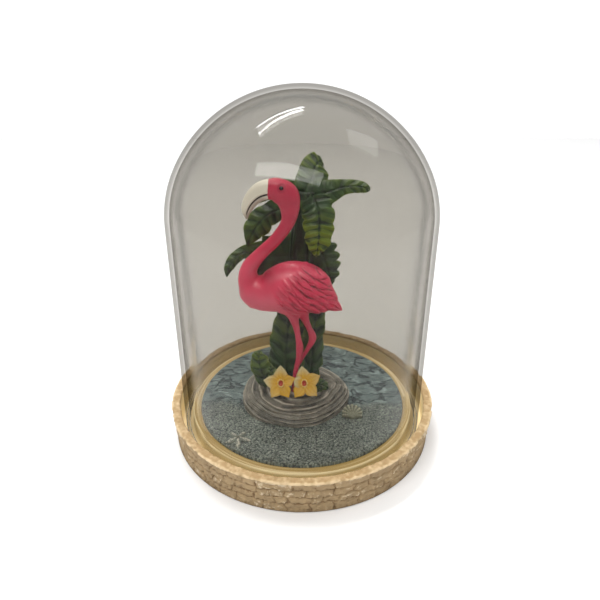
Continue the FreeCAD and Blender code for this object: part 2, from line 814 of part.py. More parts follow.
class Bench:
    """Fits free-form castings to one another: a new piece gives way to those that are already there."""

    def __init__(self):
        self.fitted = {}
        self.boxes = {}

    def put(self, label, shape):
        self.fitted[label] = shape
        self.boxes[label] = tight_box(shape)

    def fit(self, label, shape):
        box = tight_box(shape)
        for name, other in self.fitted.items():
            if box.intersect(self.boxes[name]):
                shape = largest(shape.cut(other))
        self.put(label, shape)

    def carve(self, label, tool):
        """Cuts a socket for tool in a piece that is already fitted."""
        self.put(label, largest(self.fitted[label].cut(tool)))


def add_feature(label, shape):
    feature = doc.addObject("Part::Feature", label)
    feature.Shape = shape
    feature.Placement = shape.Placement
    feature.Label = label
    return feature


def make_castings(rock):
    bench = Bench()
    bench.put("rock", rock.Shape.Solids[0])
    bench.fit("torso", limb(TORSO))
    bench.fit("stem", lofted_ellipses("stem", STEM).Shape.Solids[0])
    bench.fit("neck_and_head", limb(NECK_AND_HEAD))
    bench.fit("bill", limb(BILL))
    beads = []
    for side in (-1, 1):
        bead, socket = eye_bead(side)
        bench.carve("neck_and_head", socket)
        beads.append(bead)
    bench.put("eyes", Part.makeCompound(beads))
    bench.fit("tail", limb(TAIL))

    both_wings = limb(WING)
    box = both_wings.BoundBox
    middle = at(0, -6.0, 0).y
    parting = size("wing_parting").value
    for label, side in (("near_wing", -1), ("far_wing", 1)):
        slab = Part.makeBox(box.XLength, box.YLength, box.ZLength, V(box.XMin, 0, box.ZMin))
        slab.translate(V(0, middle + parting if side > 0 else middle - parting - box.YLength, 0))
        bench.fit(label, both_wings.common(slab))

    wires = []
    wire_radius = size("wire_diameter").value / 2
    for label, stations in (("standing_leg", STANDING_LEG), ("bent_leg", BENT_LEG)):
        bench.fit(label, limb(stations, ruled=True))
        knee, thigh = at(*stations[3][:3]), at(*stations[1][:3])
        wire = Part.makeCylinder(wire_radius, (thigh - knee).Length, knee, thigh - knee)
        bench.carve(label, wire)
        wires.append(wire)
    bench.put("leg_wires", Part.makeCompound(wires))

    for side in FLOWERS:
        petals, heart = make_flower(side)
        bench.put(f"{side}_flower_heart", heart)
        bench.fit(f"{side}_flower_petals", petals)
    for label, (stations, face, thick) in LEAVES.items():
        bench.fit(label, leaf(stations, face, thick))

    bearing, spin = SHELL_PLACE
    distance = rock_reach(bearing) + size("shell_gap").value + size("shell_span").value / 2
    bench.put("scallop_shell", place_on_sea(make_shell(), bearing, distance, spin))
    bearing, spin = STAR_PLACE
    shore = rock_reach(bearing)
    distance = shore + size("star_share").value * (disc_radius.value - shore)
    bench.put("starfish", place_on_sea(make_star(), bearing, distance, spin))

    made = []
    for label, shape in bench.fitted.items():
        if label != "rock":
            made.append(add_feature(label, shape))
    return made


# ---------------------------------------------------------------- build, check, write
parts = [
    make_glass_dome(),
    make_base_tray(),
    make_sea_disc(),
    make_round_plate("felt_pad", felt_radius, None, size("felt_thickness")),
    make_dowels(),
]
rock_part = make_rock()
parts.append(rock_part)
parts += make_castings(rock_part)
doc.recompute()

faults = [o.Label for o in doc.Objects if {"Invalid", "Error"} & set(o.State)]
if faults:
    raise RuntimeError(f"failed features: {faults}")
os.makedirs("parts", exist_ok=True)
for part in parts:
    shape = part.Shape
    if shape.isNull() or not shape.isValid() or not shape.Solids:
        raise RuntimeError(f"{part.Label} has no valid solid")
for part in parts:
    part.Shape.exportStep(f"parts/{part.Label}.step")
    box = part.Shape.BoundBox
    print(
        f"{part.Label:22s} solids {len(part.Shape.Solids)} volume {part.Shape.Volume:9.1f} "
        f"x {box.XMin:6.1f} {box.XMax:6.1f} y {box.YMin:6.1f} {box.YMax:6.1f} z {box.ZMin:6.1f} {box.ZMax:6.1f}"
    )
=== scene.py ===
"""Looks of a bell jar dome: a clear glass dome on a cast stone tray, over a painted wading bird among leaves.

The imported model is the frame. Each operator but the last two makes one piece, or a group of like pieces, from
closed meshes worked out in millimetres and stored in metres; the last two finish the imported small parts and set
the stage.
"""

import math
import random

import bmesh
import bpy
import numpy as np
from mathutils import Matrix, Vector


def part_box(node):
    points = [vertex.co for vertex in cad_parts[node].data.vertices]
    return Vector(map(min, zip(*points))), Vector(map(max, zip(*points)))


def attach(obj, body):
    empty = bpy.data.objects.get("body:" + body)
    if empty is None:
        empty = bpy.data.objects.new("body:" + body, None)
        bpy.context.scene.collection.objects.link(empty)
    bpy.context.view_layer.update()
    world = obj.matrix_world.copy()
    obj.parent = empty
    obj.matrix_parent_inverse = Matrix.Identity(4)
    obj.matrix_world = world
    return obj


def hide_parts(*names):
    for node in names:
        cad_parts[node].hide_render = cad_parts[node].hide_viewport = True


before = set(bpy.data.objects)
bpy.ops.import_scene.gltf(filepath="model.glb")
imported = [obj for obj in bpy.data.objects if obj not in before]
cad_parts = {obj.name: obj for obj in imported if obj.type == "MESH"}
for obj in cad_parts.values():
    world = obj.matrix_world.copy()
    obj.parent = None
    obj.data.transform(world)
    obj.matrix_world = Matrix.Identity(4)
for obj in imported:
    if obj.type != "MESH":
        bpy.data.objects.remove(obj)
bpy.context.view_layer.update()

bl_info = {
    "name": "Bell jar dome display",
    "version": (1, 0, 0),
    "blender": (4, 5, 0),
    "location": "3D View > Sidebar > Bell Jar",
    "description": "Makes the painted figure, cast tray and glass of a bell jar dome around its packed model",
    "category": "Object",
}

MM = 0.001
BASE = "display_base"
DOME = "dome"


# ---------------------------------------------------------------- numbers
def box_mm(node):
    """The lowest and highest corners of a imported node, in millimetres."""
    low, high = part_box(node)
    return np.array(low) / MM, np.array(high) / MM


SEA_LEVEL = box_mm("sea_disc")[1][2]


def step(value, low, high):
    """Rises smoothly from 0 at low to 1 at high."""
    share = np.clip((value - low) / (high - low), 0.0, 1.0)
    return share * share * (3.0 - 2.0 * share)


def unit(vectors):
    """Vectors made one long."""
    length = np.linalg.norm(vectors, axis=-1, keepdims=True)
    return vectors / np.maximum(length, 1e-9)


def scrambled(cell, seed):
    """A fixed pseudo-random number from 0 to 1 for each row of whole numbers."""
    total = np.full(cell.shape[:-1], seed * 7919 + 12345, dtype=np.int64)
    for axis, prime in enumerate((73856093, 19349663, 83492791)[: cell.shape[-1]]):
        total ^= cell[..., axis] * prime
    total = (total ^ (total >> 13)) * 1274126177 & 0x7FFFFFFF
    total = (total ^ (total >> 15)) * 668265263 & 0x7FFFFFFF
    return total / 0x7FFFFFFF


def lumps(points, size, seed=0):
    """Smooth noise from -1 to 1 whose lumps are about size across, in any number of axes up to three."""
    scaled = points / size
    cell = np.floor(scaled).astype(np.int64)
    share = scaled - cell
    share = share * share * (3.0 - 2.0 * share)
    total = np.zeros(points.shape[:-1])
    axes = points.shape[-1]
    for corner in range(2**axes):
        offset = np.array([(corner >> axis) & 1 for axis in range(axes)])
        weight = np.prod(np.where(offset == 1, share, 1.0 - share), axis=-1)
        total += weight * scrambled(cell + offset, seed)
    return total * 2.0 - 1.0


def layered(points, size, octaves=4, seed=0):
    """Several sizes of lumps, each half as large and half as strong as the last."""
    total = np.zeros(points.shape[:-1])
    strength = 1.0
    for octave in range(octaves):
        total += strength * lumps(points + 17.3 * octave, size / 2**octave, seed + octave)
        strength *= 0.5
    return total / 1.9


def grains(points, size, seed=0):
    """For grains scattered over a plane: 1 at a grain's middle to 0 between them, and its own number."""
    scaled = points / size
    cell = np.floor(scaled).astype(np.int64)
    nearest = np.full(points.shape[:-1], 9.0)
    number = np.zeros(points.shape[:-1])
    for dx in (-1, 0, 1):
        for dy in (-1, 0, 1):
            other = cell + np.array([dx, dy])
            spot = other + np.stack([scrambled(other, seed), scrambled(other, seed + 1)], axis=-1)
            apart = np.linalg.norm(scaled - spot, axis=-1)
            closer = apart < nearest
            number = np.where(closer, scrambled(other, seed + 2), number)
            nearest = np.where(closer, apart, nearest)
    return 1.0 - step(nearest, 0.1, 0.85), number


def smooth_rows(stations, count):
    """Rows between the stations on one smooth curve through them."""
    knots = np.array(stations, dtype=float)
    padded = np.vstack([2 * knots[0] - knots[1], knots, 2 * knots[-1] - knots[-2]])
    place = np.linspace(0, len(knots) - 1, count)
    index = np.minimum(place.astype(int), len(knots) - 2)
    share = (place - index)[:, None]
    a, b, c, d = (padded[index + shift] for shift in range(4))
    return 0.5 * (
        2 * b
        + (c - a) * share
        + (2 * a - 5 * b + 4 * c - d) * share**2
        + (3 * b - a - 3 * c + d) * share**3
    )


# ---------------------------------------------------------------- meshes
def grid_faces(rows, columns):
    """Quads over a grid of rings, each ring a row of points that closes on itself."""
    row, column = np.meshgrid(np.arange(rows - 1), np.arange(columns), indexing="ij")
    after = (column + 1) % columns
    low, high = row * columns, (row + 1) * columns
    return np.stack([low + column, low + after, high + after, high + column], axis=-1).reshape(-1, 4)


def end_fans(rows, columns):
    """Triangles from a grid's first and last rings to the two points that come after the grid's own."""
    column = np.arange(columns)
    after = (column + 1) % columns
    first = np.full(columns, rows * columns)
    high = (rows - 1) * columns
    return np.vstack(
        [np.stack([first, after, column], axis=-1), np.stack([first + 1, high + column, high + after], axis=-1)]
    )


def signed_volume(points, quads):
    """Positive where the quads face outwards."""
    a, b, c, d = (points[quads[:, corner]] for corner in range(4))
    return np.sum(a * np.cross(b, c)) + np.sum(a * np.cross(c, d))


def store(mesh, **values):
    """Stores named values at a mesh's points, where materials read them."""
    for key, value in values.items():
        held = mesh.attributes.new(key, "FLOAT", "POINT")
        held.data.foreach_set("value", np.asarray(value, dtype=np.float32).ravel())


def new_mesh(name, points, quads, triangles, **values):
    """A smooth-shaded object from points in millimetres, turned to face outwards, with named values."""
    mesh = bpy.data.meshes.new(name)
    points = np.asarray(points, dtype=float).reshape(-1, 3)
    if signed_volume(points, quads) < 0:
        quads, triangles = quads[:, ::-1], triangles[:, ::-1]
    mesh.vertices.add(len(points))
    mesh.vertices.foreach_set("co", (points * MM).ravel())
    starts = np.concatenate([np.arange(0, quads.size, 4), quads.size + np.arange(0, triangles.size, 3)])
    corners = np.concatenate([quads.ravel(), triangles.ravel()])
    mesh.loops.add(len(corners))
    mesh.loops.foreach_set("vertex_index", corners.astype(np.int32))
    mesh.polygons.add(len(starts))
    mesh.polygons.foreach_set("loop_start", starts.astype(np.int32))
    mesh.update(calc_edges=True)
    mesh.validate()
    mesh.polygons.foreach_set("use_smooth", np.ones(len(mesh.polygons), dtype=bool))
    store(mesh, **values)
    piece = bpy.data.objects.new(name, mesh)
    bpy.context.scene.collection.objects.link(piece)
    return piece


def closed_tube(name, grid, **values):
    """A closed piece from rings of points, its first and last rings filled to their middles."""
    rows, columns = grid.shape[:2]
    points = np.vstack([grid.reshape(-1, 3), grid[0].mean(axis=0), grid[-1].mean(axis=0)])
    filled = {
        key: np.concatenate([value.ravel(), [value[0].mean(), value[-1].mean()]]) for key, value in values.items()
    }
    return new_mesh(name, points, grid_faces(rows, columns), end_fans(rows, columns), **filled)


def wrapped(front, back):
    """A row's points or values over the front of a sheet, and then back over its other side."""
    return np.concatenate([front, back[:, ::-1]], axis=1)


def ring_angles(columns):
    """Evenly spaced angles once round."""
    return np.linspace(0, 2 * math.pi, columns, endpoint=False)


def finish_piece(piece, body, material, replaced):
    """Gives a piece its material and the body it rides on, and hides the imported nodes that it stands for."""
    piece.data.materials.clear()
    piece.data.materials.append(material)
    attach(piece, body)
    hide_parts(*replaced)


def limb_grid(stations, rows, columns):
    """Rings round stations (x, y, up, half height, half depth): points, ring angles and lengthwise share."""
    path = smooth_rows(stations, rows)
    centre = path[:, :3] + np.array([0, 0, SEA_LEVEL])
    along = unit(np.gradient(centre, axis=0))
    depth = np.array([0.0, 1.0, 0.0])
    lift = unit(np.cross(along, depth))
    angle = ring_angles(columns)
    thinnest = 0.02
    high = np.maximum(path[:, 3], thinnest)[:, None, None]
    deep = np.maximum(path[:, 4], thinnest)[:, None, None]
    sideways = np.cos(angle)[None, :, None] * depth * deep
    ring = sideways + np.sin(angle)[None, :, None] * lift[:, None, :] * high
    grid = centre[:, None, :] + ring
    share = np.repeat(np.linspace(0, 1, rows)[:, None], columns, axis=1)
    return grid, np.repeat(angle[None, :], rows, axis=0), share


def grid_normals(grid):
    """Outward normals of a grid of rings."""
    across = np.roll(grid, -1, axis=1) - np.roll(grid, 1, axis=1)
    along = np.gradient(grid, axis=0)
    normal = unit(np.cross(across, along))
    middle = grid.mean(axis=1, keepdims=True)
    outward = np.sum((grid - middle) * normal, axis=-1).mean()
    return normal if outward > 0 else -normal


# ---------------------------------------------------------------- shading nodes
class Shade:
    """Short calls for building one node tree."""

    def __init__(self, tree):
        self.tree = tree

    def node(self, kind, **settings):
        made = self.tree.nodes.new(kind)
        for key, value in settings.items():
            setattr(made, key, value)
        return made

    def put(self, socket, value):
        if isinstance(value, bpy.types.NodeSocket):
            self.tree.links.new(value, socket)
        else:
            socket.default_value = value

    def value(self, name):
        """A value stored at the mesh's points."""
        return self.node("ShaderNodeAttribute", attribute_name=name).outputs["Fac"]

    def maths(self, kind, a, b=0.0, clamp=False):
        made = self.node("ShaderNodeMath", operation=kind, use_clamp=clamp)
        self.put(made.inputs[0], a)
        self.put(made.inputs[1], b)
        return made.outputs[0]

    def blend(self, share, a, b, kind="MIX"):
        made = self.node("ShaderNodeMix", data_type="RGBA", blend_type=kind)
        self.put(made.inputs[0], share)
        self.put(made.inputs[6], a)
        self.put(made.inputs[7], b)
        return made.outputs[2]

    def rise(self, value, low, high, start=0.0, end=1.0):
        made = self.node("ShaderNodeMapRange", interpolation_type="SMOOTHSTEP")
        for socket, number in zip(made.inputs, (value, low, high, start, end)):
            self.put(socket, number)
        return made.outputs[0]

    def noise(self, size_mm, detail=4.0, stretch=(1.0, 1.0, 1.0)):
        """Noise over the object's own space, its lumps about size_mm across."""
        place = self.node("ShaderNodeTexCoord").outputs["Object"]
        scale = self.node("ShaderNodeMapping")
        self.put(scale.inputs["Vector"], place)
        scale.inputs["Scale"].default_value = tuple(axis / (size_mm * MM) for axis in stretch)
        made = self.node("ShaderNodeTexNoise")
        self.put(made.inputs["Vector"], scale.outputs[0])
        made.inputs["Scale"].default_value = 1.0
        made.inputs["Detail"].default_value = detail
        return made.outputs["Fac"]

    def bump(self, height, depth_mm, strength=1.0):
        made = self.node("ShaderNodeBump")
        made.inputs["Strength"].default_value = strength
        made.inputs["Distance"].default_value = depth_mm * MM
        self.put(made.inputs["Height"], height)
        return made.outputs["Normal"]


def colour(red, green, blue):
    return (red, green, blue, 1.0)


def new_group(name, inputs, outputs):
    """An empty node group with named sockets, and the calls to fill it."""
    group = bpy.data.node_groups.new(name, "ShaderNodeTree")
    kinds = {"colour": "NodeSocketColor", "value": "NodeSocketFloat", "normal": "NodeSocketVector"}
    for label, kind in inputs:
        group.interface.new_socket(label, in_out="INPUT", socket_type=kinds[kind])
    for label, kind in outputs:
        group.interface.new_socket(label, in_out="OUTPUT", socket_type=kinds[kind])
    shade = Shade(group)
    return group, shade, shade.node("NodeGroupInput").outputs, shade.node("NodeGroupOutput").inputs


def hand_paint_group():
    """Hand painting over relief: a wash left in the recesses, the coat, and dry brush on the high places."""
    if "hand_paint" in bpy.data.node_groups:
        return bpy.data.node_groups["hand_paint"]
    group, shade, given, result = new_group(
        "hand_paint",
        [
            ("Relief", "value"),
            ("Wash", "colour"),
            ("Coat", "colour"),
            ("Dry Brush", "colour"),
            ("Wash Level", "value"),
            ("Brush Level", "value"),
            ("Patchiness", "value"),
        ],
        [("Color", "colour"), ("High", "value")],
    )
    patches = shade.maths("SUBTRACT", shade.noise(2.2, 5.0), 0.5)
    fine = shade.maths("SUBTRACT", shade.noise(0.45, 3.0), 0.5)
    ragged = shade.maths("ADD", patches, shade.maths("MULTIPLY", fine, 0.7))
    uneven = shade.maths("ADD", given["Relief"], shade.maths("MULTIPLY", ragged, given["Patchiness"]))
    low_edge = shade.maths("SUBTRACT", given["Wash Level"], 0.22)
    high_edge = shade.maths("ADD", given["Wash Level"], 0.16)
    out_of_wash = shade.rise(uneven, low_edge, high_edge)
    brush_end = shade.maths("ADD", given["Brush Level"], 0.3)
    brushed = shade.rise(uneven, given["Brush Level"], brush_end)
    coat = shade.blend(out_of_wash, given["Wash"], given["Coat"])
    shade.put(result["Color"], shade.blend(brushed, coat, given["Dry Brush"]))
    shade.put(result["High"], brushed)
    return group


def cast_grain_group():
    """The fine tooth of a casting: a height for a bump and a faint unevenness for the colour."""
    if "cast_grain" in bpy.data.node_groups:
        return bpy.data.node_groups["cast_grain"]
    group, shade, given, result = new_group(
        "cast_grain",
        [("Color", "colour"), ("Unevenness", "value")],
        [("Height", "value"), ("Color", "colour")],
    )
    fine = shade.noise(0.16, 3.0)
    broad = shade.noise(4.5, 3.0)
    shade.put(result["Height"], fine)
    dark = shade.rise(broad, 0.3, 0.7, 0.62, 1.18)
    toned = shade.node("ShaderNodeCombineColor")
    for socket in toned.inputs:
        shade.put(socket, dark)
    uneven = shade.blend(given["Unevenness"], given["Color"], toned.outputs[0], "MULTIPLY")
    shade.put(result["Color"], uneven)
    return group


def place_group(shade, group, **given):
    """Puts a node group in a material, its inputs given by name, and returns its outputs."""
    made = shade.node("ShaderNodeGroup", node_tree=group)
    for label, value in given.items():
        shade.put(made.inputs[label.replace("_", " ")], value)
    return made.outputs


def new_material(name, **sockets):
    """A material with one Principled shader whose constant sockets are set by name."""
    material = bpy.data.materials.new(name)
    material.use_nodes = True
    shader = material.node_tree.nodes["Principled BSDF"]
    for label, value in sockets.items():
        shader.inputs[label.replace("_", " ")].default_value = value
    return material, Shade(material.node_tree), shader


def hand_painted(shade, wash, coat, brush, levels, patchiness):
    """Hand painting over the relief stored in the mesh; levels are where the wash ends and the brush starts."""
    return place_group(
        shade, hand_paint_group(), Relief=shade.value("relief"), Wash=wash, Coat=coat, Dry_Brush=brush,
        Wash_Level=levels[0], Brush_Level=levels[1], Patchiness=patchiness,
    )


def grained(shade, shader, toned, uneven, tooth):
    """A casting's tooth on the shader's normal, and the colour that the casting makes uneven."""
    cast = place_group(shade, cast_grain_group(), Color=toned, Unevenness=uneven)
    shade.put(shader.inputs["Normal"], shade.bump(cast["Height"], tooth))
    return cast["Color"]


def painted(name, wash, coat, brush, levels, patchiness, roughness, tooth=0.02, uneven=0.5):
    """A hand-painted casting's material, driven by the relief stored in its mesh."""
    material, shade, shader = new_material(name)
    paint = hand_painted(shade, wash, coat, brush, levels, patchiness)
    toned = grained(shade, shader, paint["Color"], uneven, tooth)
    shade.put(shader.inputs["Base Color"], toned)
    shade.put(shader.inputs["Roughness"], shade.rise(paint["High"], 0.0, 1.0, roughness, roughness + 0.12))
    return material, shade, shader, toned


# ---------------------------------------------------------------- settings a user would change
class DomeGlassSettings(bpy.types.PropertyGroup):
    tint: bpy.props.FloatVectorProperty(
        name="Tint", description="Colour that one wall of the glass gives",
        subtype="COLOR", size=3, default=(0.585, 0.57, 0.535), min=0.0, max=1.0,
    )
    wall: bpy.props.FloatProperty(
        name="Wall", description="Thickness of the glass", default=0.0018, unit="LENGTH", min=0.0005, max=0.004
    )


class TraySettings(bpy.types.PropertyGroup):
    rim_width: bpy.props.FloatProperty(
        name="Rim width", description="Width of the flat rim", default=0.004, unit="LENGTH"
    )
    channel_floor: bpy.props.FloatProperty(
        name="Channel floor", description="Height of the dome's foot in its channel", default=0.0052, unit="LENGTH"
    )
    joint_depth: bpy.props.FloatProperty(
        name="Joint depth", description="Depth of the joints between stones", default=0.0011, unit="LENGTH"
    )
    # The stones' coat is kept darker than the rim: partly the stone's own tan, partly painted shade where the
    # floor shades the wall.
    stone: bpy.props.FloatVectorProperty(
        name="Stone", description="Coat colour of the stones",
        subtype="COLOR", size=3, default=(0.40, 0.28, 0.145), min=0.0, max=1.0,
    )


class SeaSettings(bpy.types.PropertyGroup):
    grain: bpy.props.FloatProperty(
        name="Sand grain", description="Width of a grain of sand", default=0.0008, unit="LENGTH"
    )
    sea: bpy.props.FloatVectorProperty(
        name="Sea", description="Coat colour of the sea bed",
        subtype="COLOR", size=3, default=(0.156, 0.184, 0.155), min=0.0, max=1.0,
    )


class BirdSettings(bpy.types.PropertyGroup):
    plumage: bpy.props.FloatVectorProperty(
        name="Plumage", description="Coat colour of the bird",
        subtype="COLOR", size=3, default=(0.76, 0.038, 0.105), min=0.0, max=1.0,
    )
    feather_height: bpy.props.FloatProperty(
        name="Feather height", description="How far the feathers stand out", default=0.0016, unit="LENGTH"
    )


class LeafSettings(bpy.types.PropertyGroup):
    coat: bpy.props.FloatVectorProperty(
        name="Leaf", description="Coat colour of the leaves",
        subtype="COLOR", size=3, default=(0.025, 0.064, 0.018), min=0.0, max=1.0,
    )
    thickness: bpy.props.FloatProperty(
        name="Thickness", description="Thickness of a leaf's blade", default=0.0013, unit="LENGTH"
    )


class FlowerSettings(bpy.types.PropertyGroup):
    petal: bpy.props.FloatVectorProperty(
        name="Petal", description="Yellow of the petals",
        subtype="COLOR", size=3, default=(0.72, 0.41, 0.004), min=0.0, max=1.0,
    )


class StageSettings(bpy.types.PropertyGroup):
    lens: bpy.props.FloatProperty(name="Lens", description="Focal length on a 36 mm sensor", default=32.7)
    pitch: bpy.props.FloatProperty(
        name="Pitch", description="How far the camera looks down", default=math.radians(25.46), subtype="ANGLE"
    )
    distance: bpy.props.FloatProperty(
        name="Distance", description="Level distance from the dome's axis to the camera", default=0.1957,
        unit="LENGTH",
    )
    height: bpy.props.FloatProperty(
        name="Height", description="Camera above the floor", default=0.154, unit="LENGTH"
    )


SETTINGS = {
    "jar_glass": DomeGlassSettings,
    "jar_tray": TraySettings,
    "jar_sea": SeaSettings,
    "jar_bird": BirdSettings,
    "jar_leaf": LeafSettings,
    "jar_flower": FlowerSettings,
    "jar_stage": StageSettings,
}


def shaded(rgb, factor):
    """A setting's colour made darker by a factor."""
    return colour(*(part * factor for part in rgb))


# ---------------------------------------------------------------- glass dome
def glass_material(tint):
    """Clear glass that darkens to a smoky line where it turns away.

    Light on its way to the figure passes it almost whole, so that the inside is as bright as the outside.
    """
    material, shade, shader = new_material("dome_glass", Roughness=0.0, IOR=1.19, Transmission_Weight=1.0)
    edge = shade.node("ShaderNodeLayerWeight")
    edge.inputs["Blend"].default_value = 0.25
    facing = edge.outputs["Facing"]
    body = shade.blend(shade.rise(facing, 0.2, 0.6), colour(*tint), shaded(tint, 0.7))
    shade.put(shader.inputs["Base Color"], body)
    smoky = shade.node("ShaderNodeBsdfTransparent")
    shade.put(
        smoky.inputs["Color"],
        shade.blend(shade.rise(facing, 0.40, 0.60), colour(0.84, 0.83, 0.81), colour(0.60, 0.59, 0.57)),
    )
    edged = shade.node("ShaderNodeMixShader")
    shade.put(edged.inputs[0], shade.rise(facing, 0.32, 0.46))
    shade.put(edged.inputs[1], shader.outputs[0])
    shade.put(edged.inputs[2], smoky.outputs[0])
    clear = shade.node("ShaderNodeBsdfTransparent")
    clear.inputs["Color"].default_value = colour(0.96, 0.96, 0.95)
    path = shade.node("ShaderNodeLightPath").outputs
    chosen = shade.node("ShaderNodeMixShader")
    shade.put(chosen.inputs[0], shade.maths("MAXIMUM", path["Is Shadow Ray"], path["Is Diffuse Ray"]))
    shade.put(chosen.inputs[1], edged.outputs[0])
    shade.put(chosen.inputs[2], clear.outputs[0])
    shade.put(material.node_tree.nodes["Material Output"].inputs["Surface"], chosen.outputs[0])
    return material


def dome_profile(outer, top, foot, wall):
    """The wall's section from the crown's outside down round the foot and up to the crown's inside."""
    inset, offset = 8.0, 9.0
    crown_z = top - (outer - inset + offset)
    shoulder = crown_z + math.sqrt(offset**2 - inset**2)
    turn = math.atan2(shoulder - crown_z, inset)

    def skin(thin):
        crown = np.linspace(math.pi / 2, turn, 46)
        knuckle = np.linspace(turn, 0.0, 34)[1:]
        tight = outer - inset - thin
        reach = outer - inset + offset - thin
        over = np.stack([reach * np.cos(crown), crown_z + reach * np.sin(crown)], axis=-1)
        bend = np.stack([inset + tight * np.cos(knuckle), shoulder + tight * np.sin(knuckle)], axis=-1)
        side_z = np.linspace(shoulder, foot + wall / 2, 30)[1:]
        side = np.stack([np.full(side_z.shape, outer - thin), side_z], axis=-1)
        return np.vstack([over, bend, side])

    lip = np.linspace(0.0, -math.pi, 9)[1:-1]
    middle = outer - wall / 2
    rounded = np.stack([middle + wall / 2 * np.cos(lip), foot + wall / 2 + wall / 2 * np.sin(lip)], axis=-1)
    return np.vstack([skin(0.0), rounded, skin(wall)[::-1]])


def revolved(name, profile, columns):
    """A closed piece turned from a section whose ends both lie on the axis."""
    angle = ring_angles(columns)
    inner = profile[1:-1]
    grid = np.empty((len(inner), columns, 3))
    grid[..., 0] = inner[:, :1] * np.cos(angle)
    grid[..., 1] = inner[:, :1] * np.sin(angle)
    grid[..., 2] = inner[:, 1:2]
    ends = np.array([[0, 0, profile[0, 1]], [0, 0, profile[-1, 1]]])
    faces = grid_faces(len(inner), columns), end_fans(len(inner), columns)
    return new_mesh(name, np.vstack([grid.reshape(-1, 3), ends]), *faces)


class JAR_OT_glass(bpy.types.Operator):
    """Blow the glass dome"""

    bl_idname = "jar.glass"
    bl_label = "Glass dome"

    def execute(self, context):
        given = context.scene.jar_glass
        low, high = box_mm("glass_dome")
        profile = dome_profile(high[0], high[2], low[2], given.wall / MM)
        dome = revolved("glass_dome_skin", profile, 192)
        finish_piece(dome, DOME, glass_material(given.tint), ["glass_dome"])
        return {"FINISHED"}


# ---------------------------------------------------------------- tray
# The parts of the tray's section; the ledge is the channel with the plinth's side and top.
HIDDEN, WALL, RIM, LEDGE = range(4)


def course_stones(arc, height, wall_height, around):
    """Relief of a wall of rough courses: 0 in the joints to 1 on the faces, and a number for each stone.

    The arc runs round the wall and the height up it, in millimetres.
    """
    turn = arc / around * 2 * math.pi
    reach = around / (2 * math.pi)
    place = np.stack([reach * np.cos(turn), reach * np.sin(turn), height], axis=-1)
    level = height + 1.15 * layered(place * [1.0, 1.0, 0.4], 5.0, 3, 3) + 0.45 * lumps(place, 1.6, 5)
    beds = np.array([-1.0, 0.25, 0.47, 0.69, 2.0]) * wall_height
    draw = random.Random(11)
    relief = np.zeros(arc.shape)
    number = np.zeros(arc.shape)
    lengths = ((5.0, 12.0), (3.5, 9.0), (4.0, 11.0), (7.0, 16.0))
    for course, (shortest, longest) in enumerate(lengths):
        joints = [0.0]
        while joints[-1] < around - longest:
            joints.append(joints[-1] + draw.uniform(shortest, longest))
        joints = np.array(joints + [around])
        slant = (arc + 1.5 * layered(place, 3.2, 3, 21 + course)) % around
        index = np.clip(np.searchsorted(joints, slant) - 1, 0, len(joints) - 2)
        inside = np.minimum(slant - joints[index], joints[index + 1] - slant)
        bed = np.minimum(level - beds[course], beds[course + 1] - level)
        edge = np.minimum(inside, bed) + 0.22 * lumps(place, 0.9, 33)
        here = (level >= beds[course]) & (level < beds[course + 1])
        stone = scrambled(np.stack([index, np.full(index.shape, course)], axis=-1), 31)
        face = step(edge, -0.05, 0.5) * (0.66 + 0.34 * stone)
        relief = np.where(here, face, relief)
        number = np.where(here, stone, number)
    return relief, number


def tray_section(outer, top, bottom, rim_width, channel, disc):
    """The tray's section as (radius, height, zone) rows, from the middle of its underside to the disc's seat."""
    flare, rounding, plinth_top, plinth_rounding, seat = 1.4, 0.9, 11.4, 0.8, 9.66
    inner = outer - rim_width
    plinth = disc + 3.6
    foot = outer - flare
    recess, recess_edge = 1.2, foot - 2.8
    seat_edge = disc + 0.12
    rows = [(0.0, recess, HIDDEN), (25.0, recess, HIDDEN), (recess_edge, recess, HIDDEN)]
    rows.append((recess_edge, bottom, HIDDEN))

    def run(start, end, spacing, zone):
        count = max(2, int(math.dist(start, end) / spacing) + 1)
        for share in np.linspace(0, 1, count)[1:]:
            radius = start[0] + (end[0] - start[0]) * share
            rows.append((radius, start[1] + (end[1] - start[1]) * share, zone))

    def bend(middle, radius, start, end, zone):
        for angle in np.radians(np.linspace(start, end, 7))[1:]:
            rows.append((middle[0] + radius * math.cos(angle), middle[1] + radius * math.sin(angle), zone))

    run((recess_edge, bottom), (foot, bottom), 0.7, HIDDEN)
    run((foot, bottom), (outer, top - rounding), 0.27, WALL)
    bend((outer - rounding, top - rounding), rounding, 0, 90, RIM)
    run((outer - rounding, top), (inner + rounding, top), 0.27, RIM)
    bend((inner + rounding, top - rounding), rounding, 90, 180, RIM)
    run((inner, top - rounding), (inner, channel), 0.4, LEDGE)
    run((inner, channel), (plinth, channel), 0.5, LEDGE)
    run((plinth, channel), (plinth, plinth_top - plinth_rounding), 0.5, LEDGE)
    bend((plinth - plinth_rounding, plinth_top - plinth_rounding), plinth_rounding, 0, 90, LEDGE)
    run((plinth - plinth_rounding, plinth_top), (seat_edge, plinth_top), 0.25, LEDGE)
    run((seat_edge, plinth_top), (seat_edge, seat), 0.6, HIDDEN)
    rows += [(20.0, seat, HIDDEN), (0.0, seat, HIDDEN)]
    return np.array(rows)


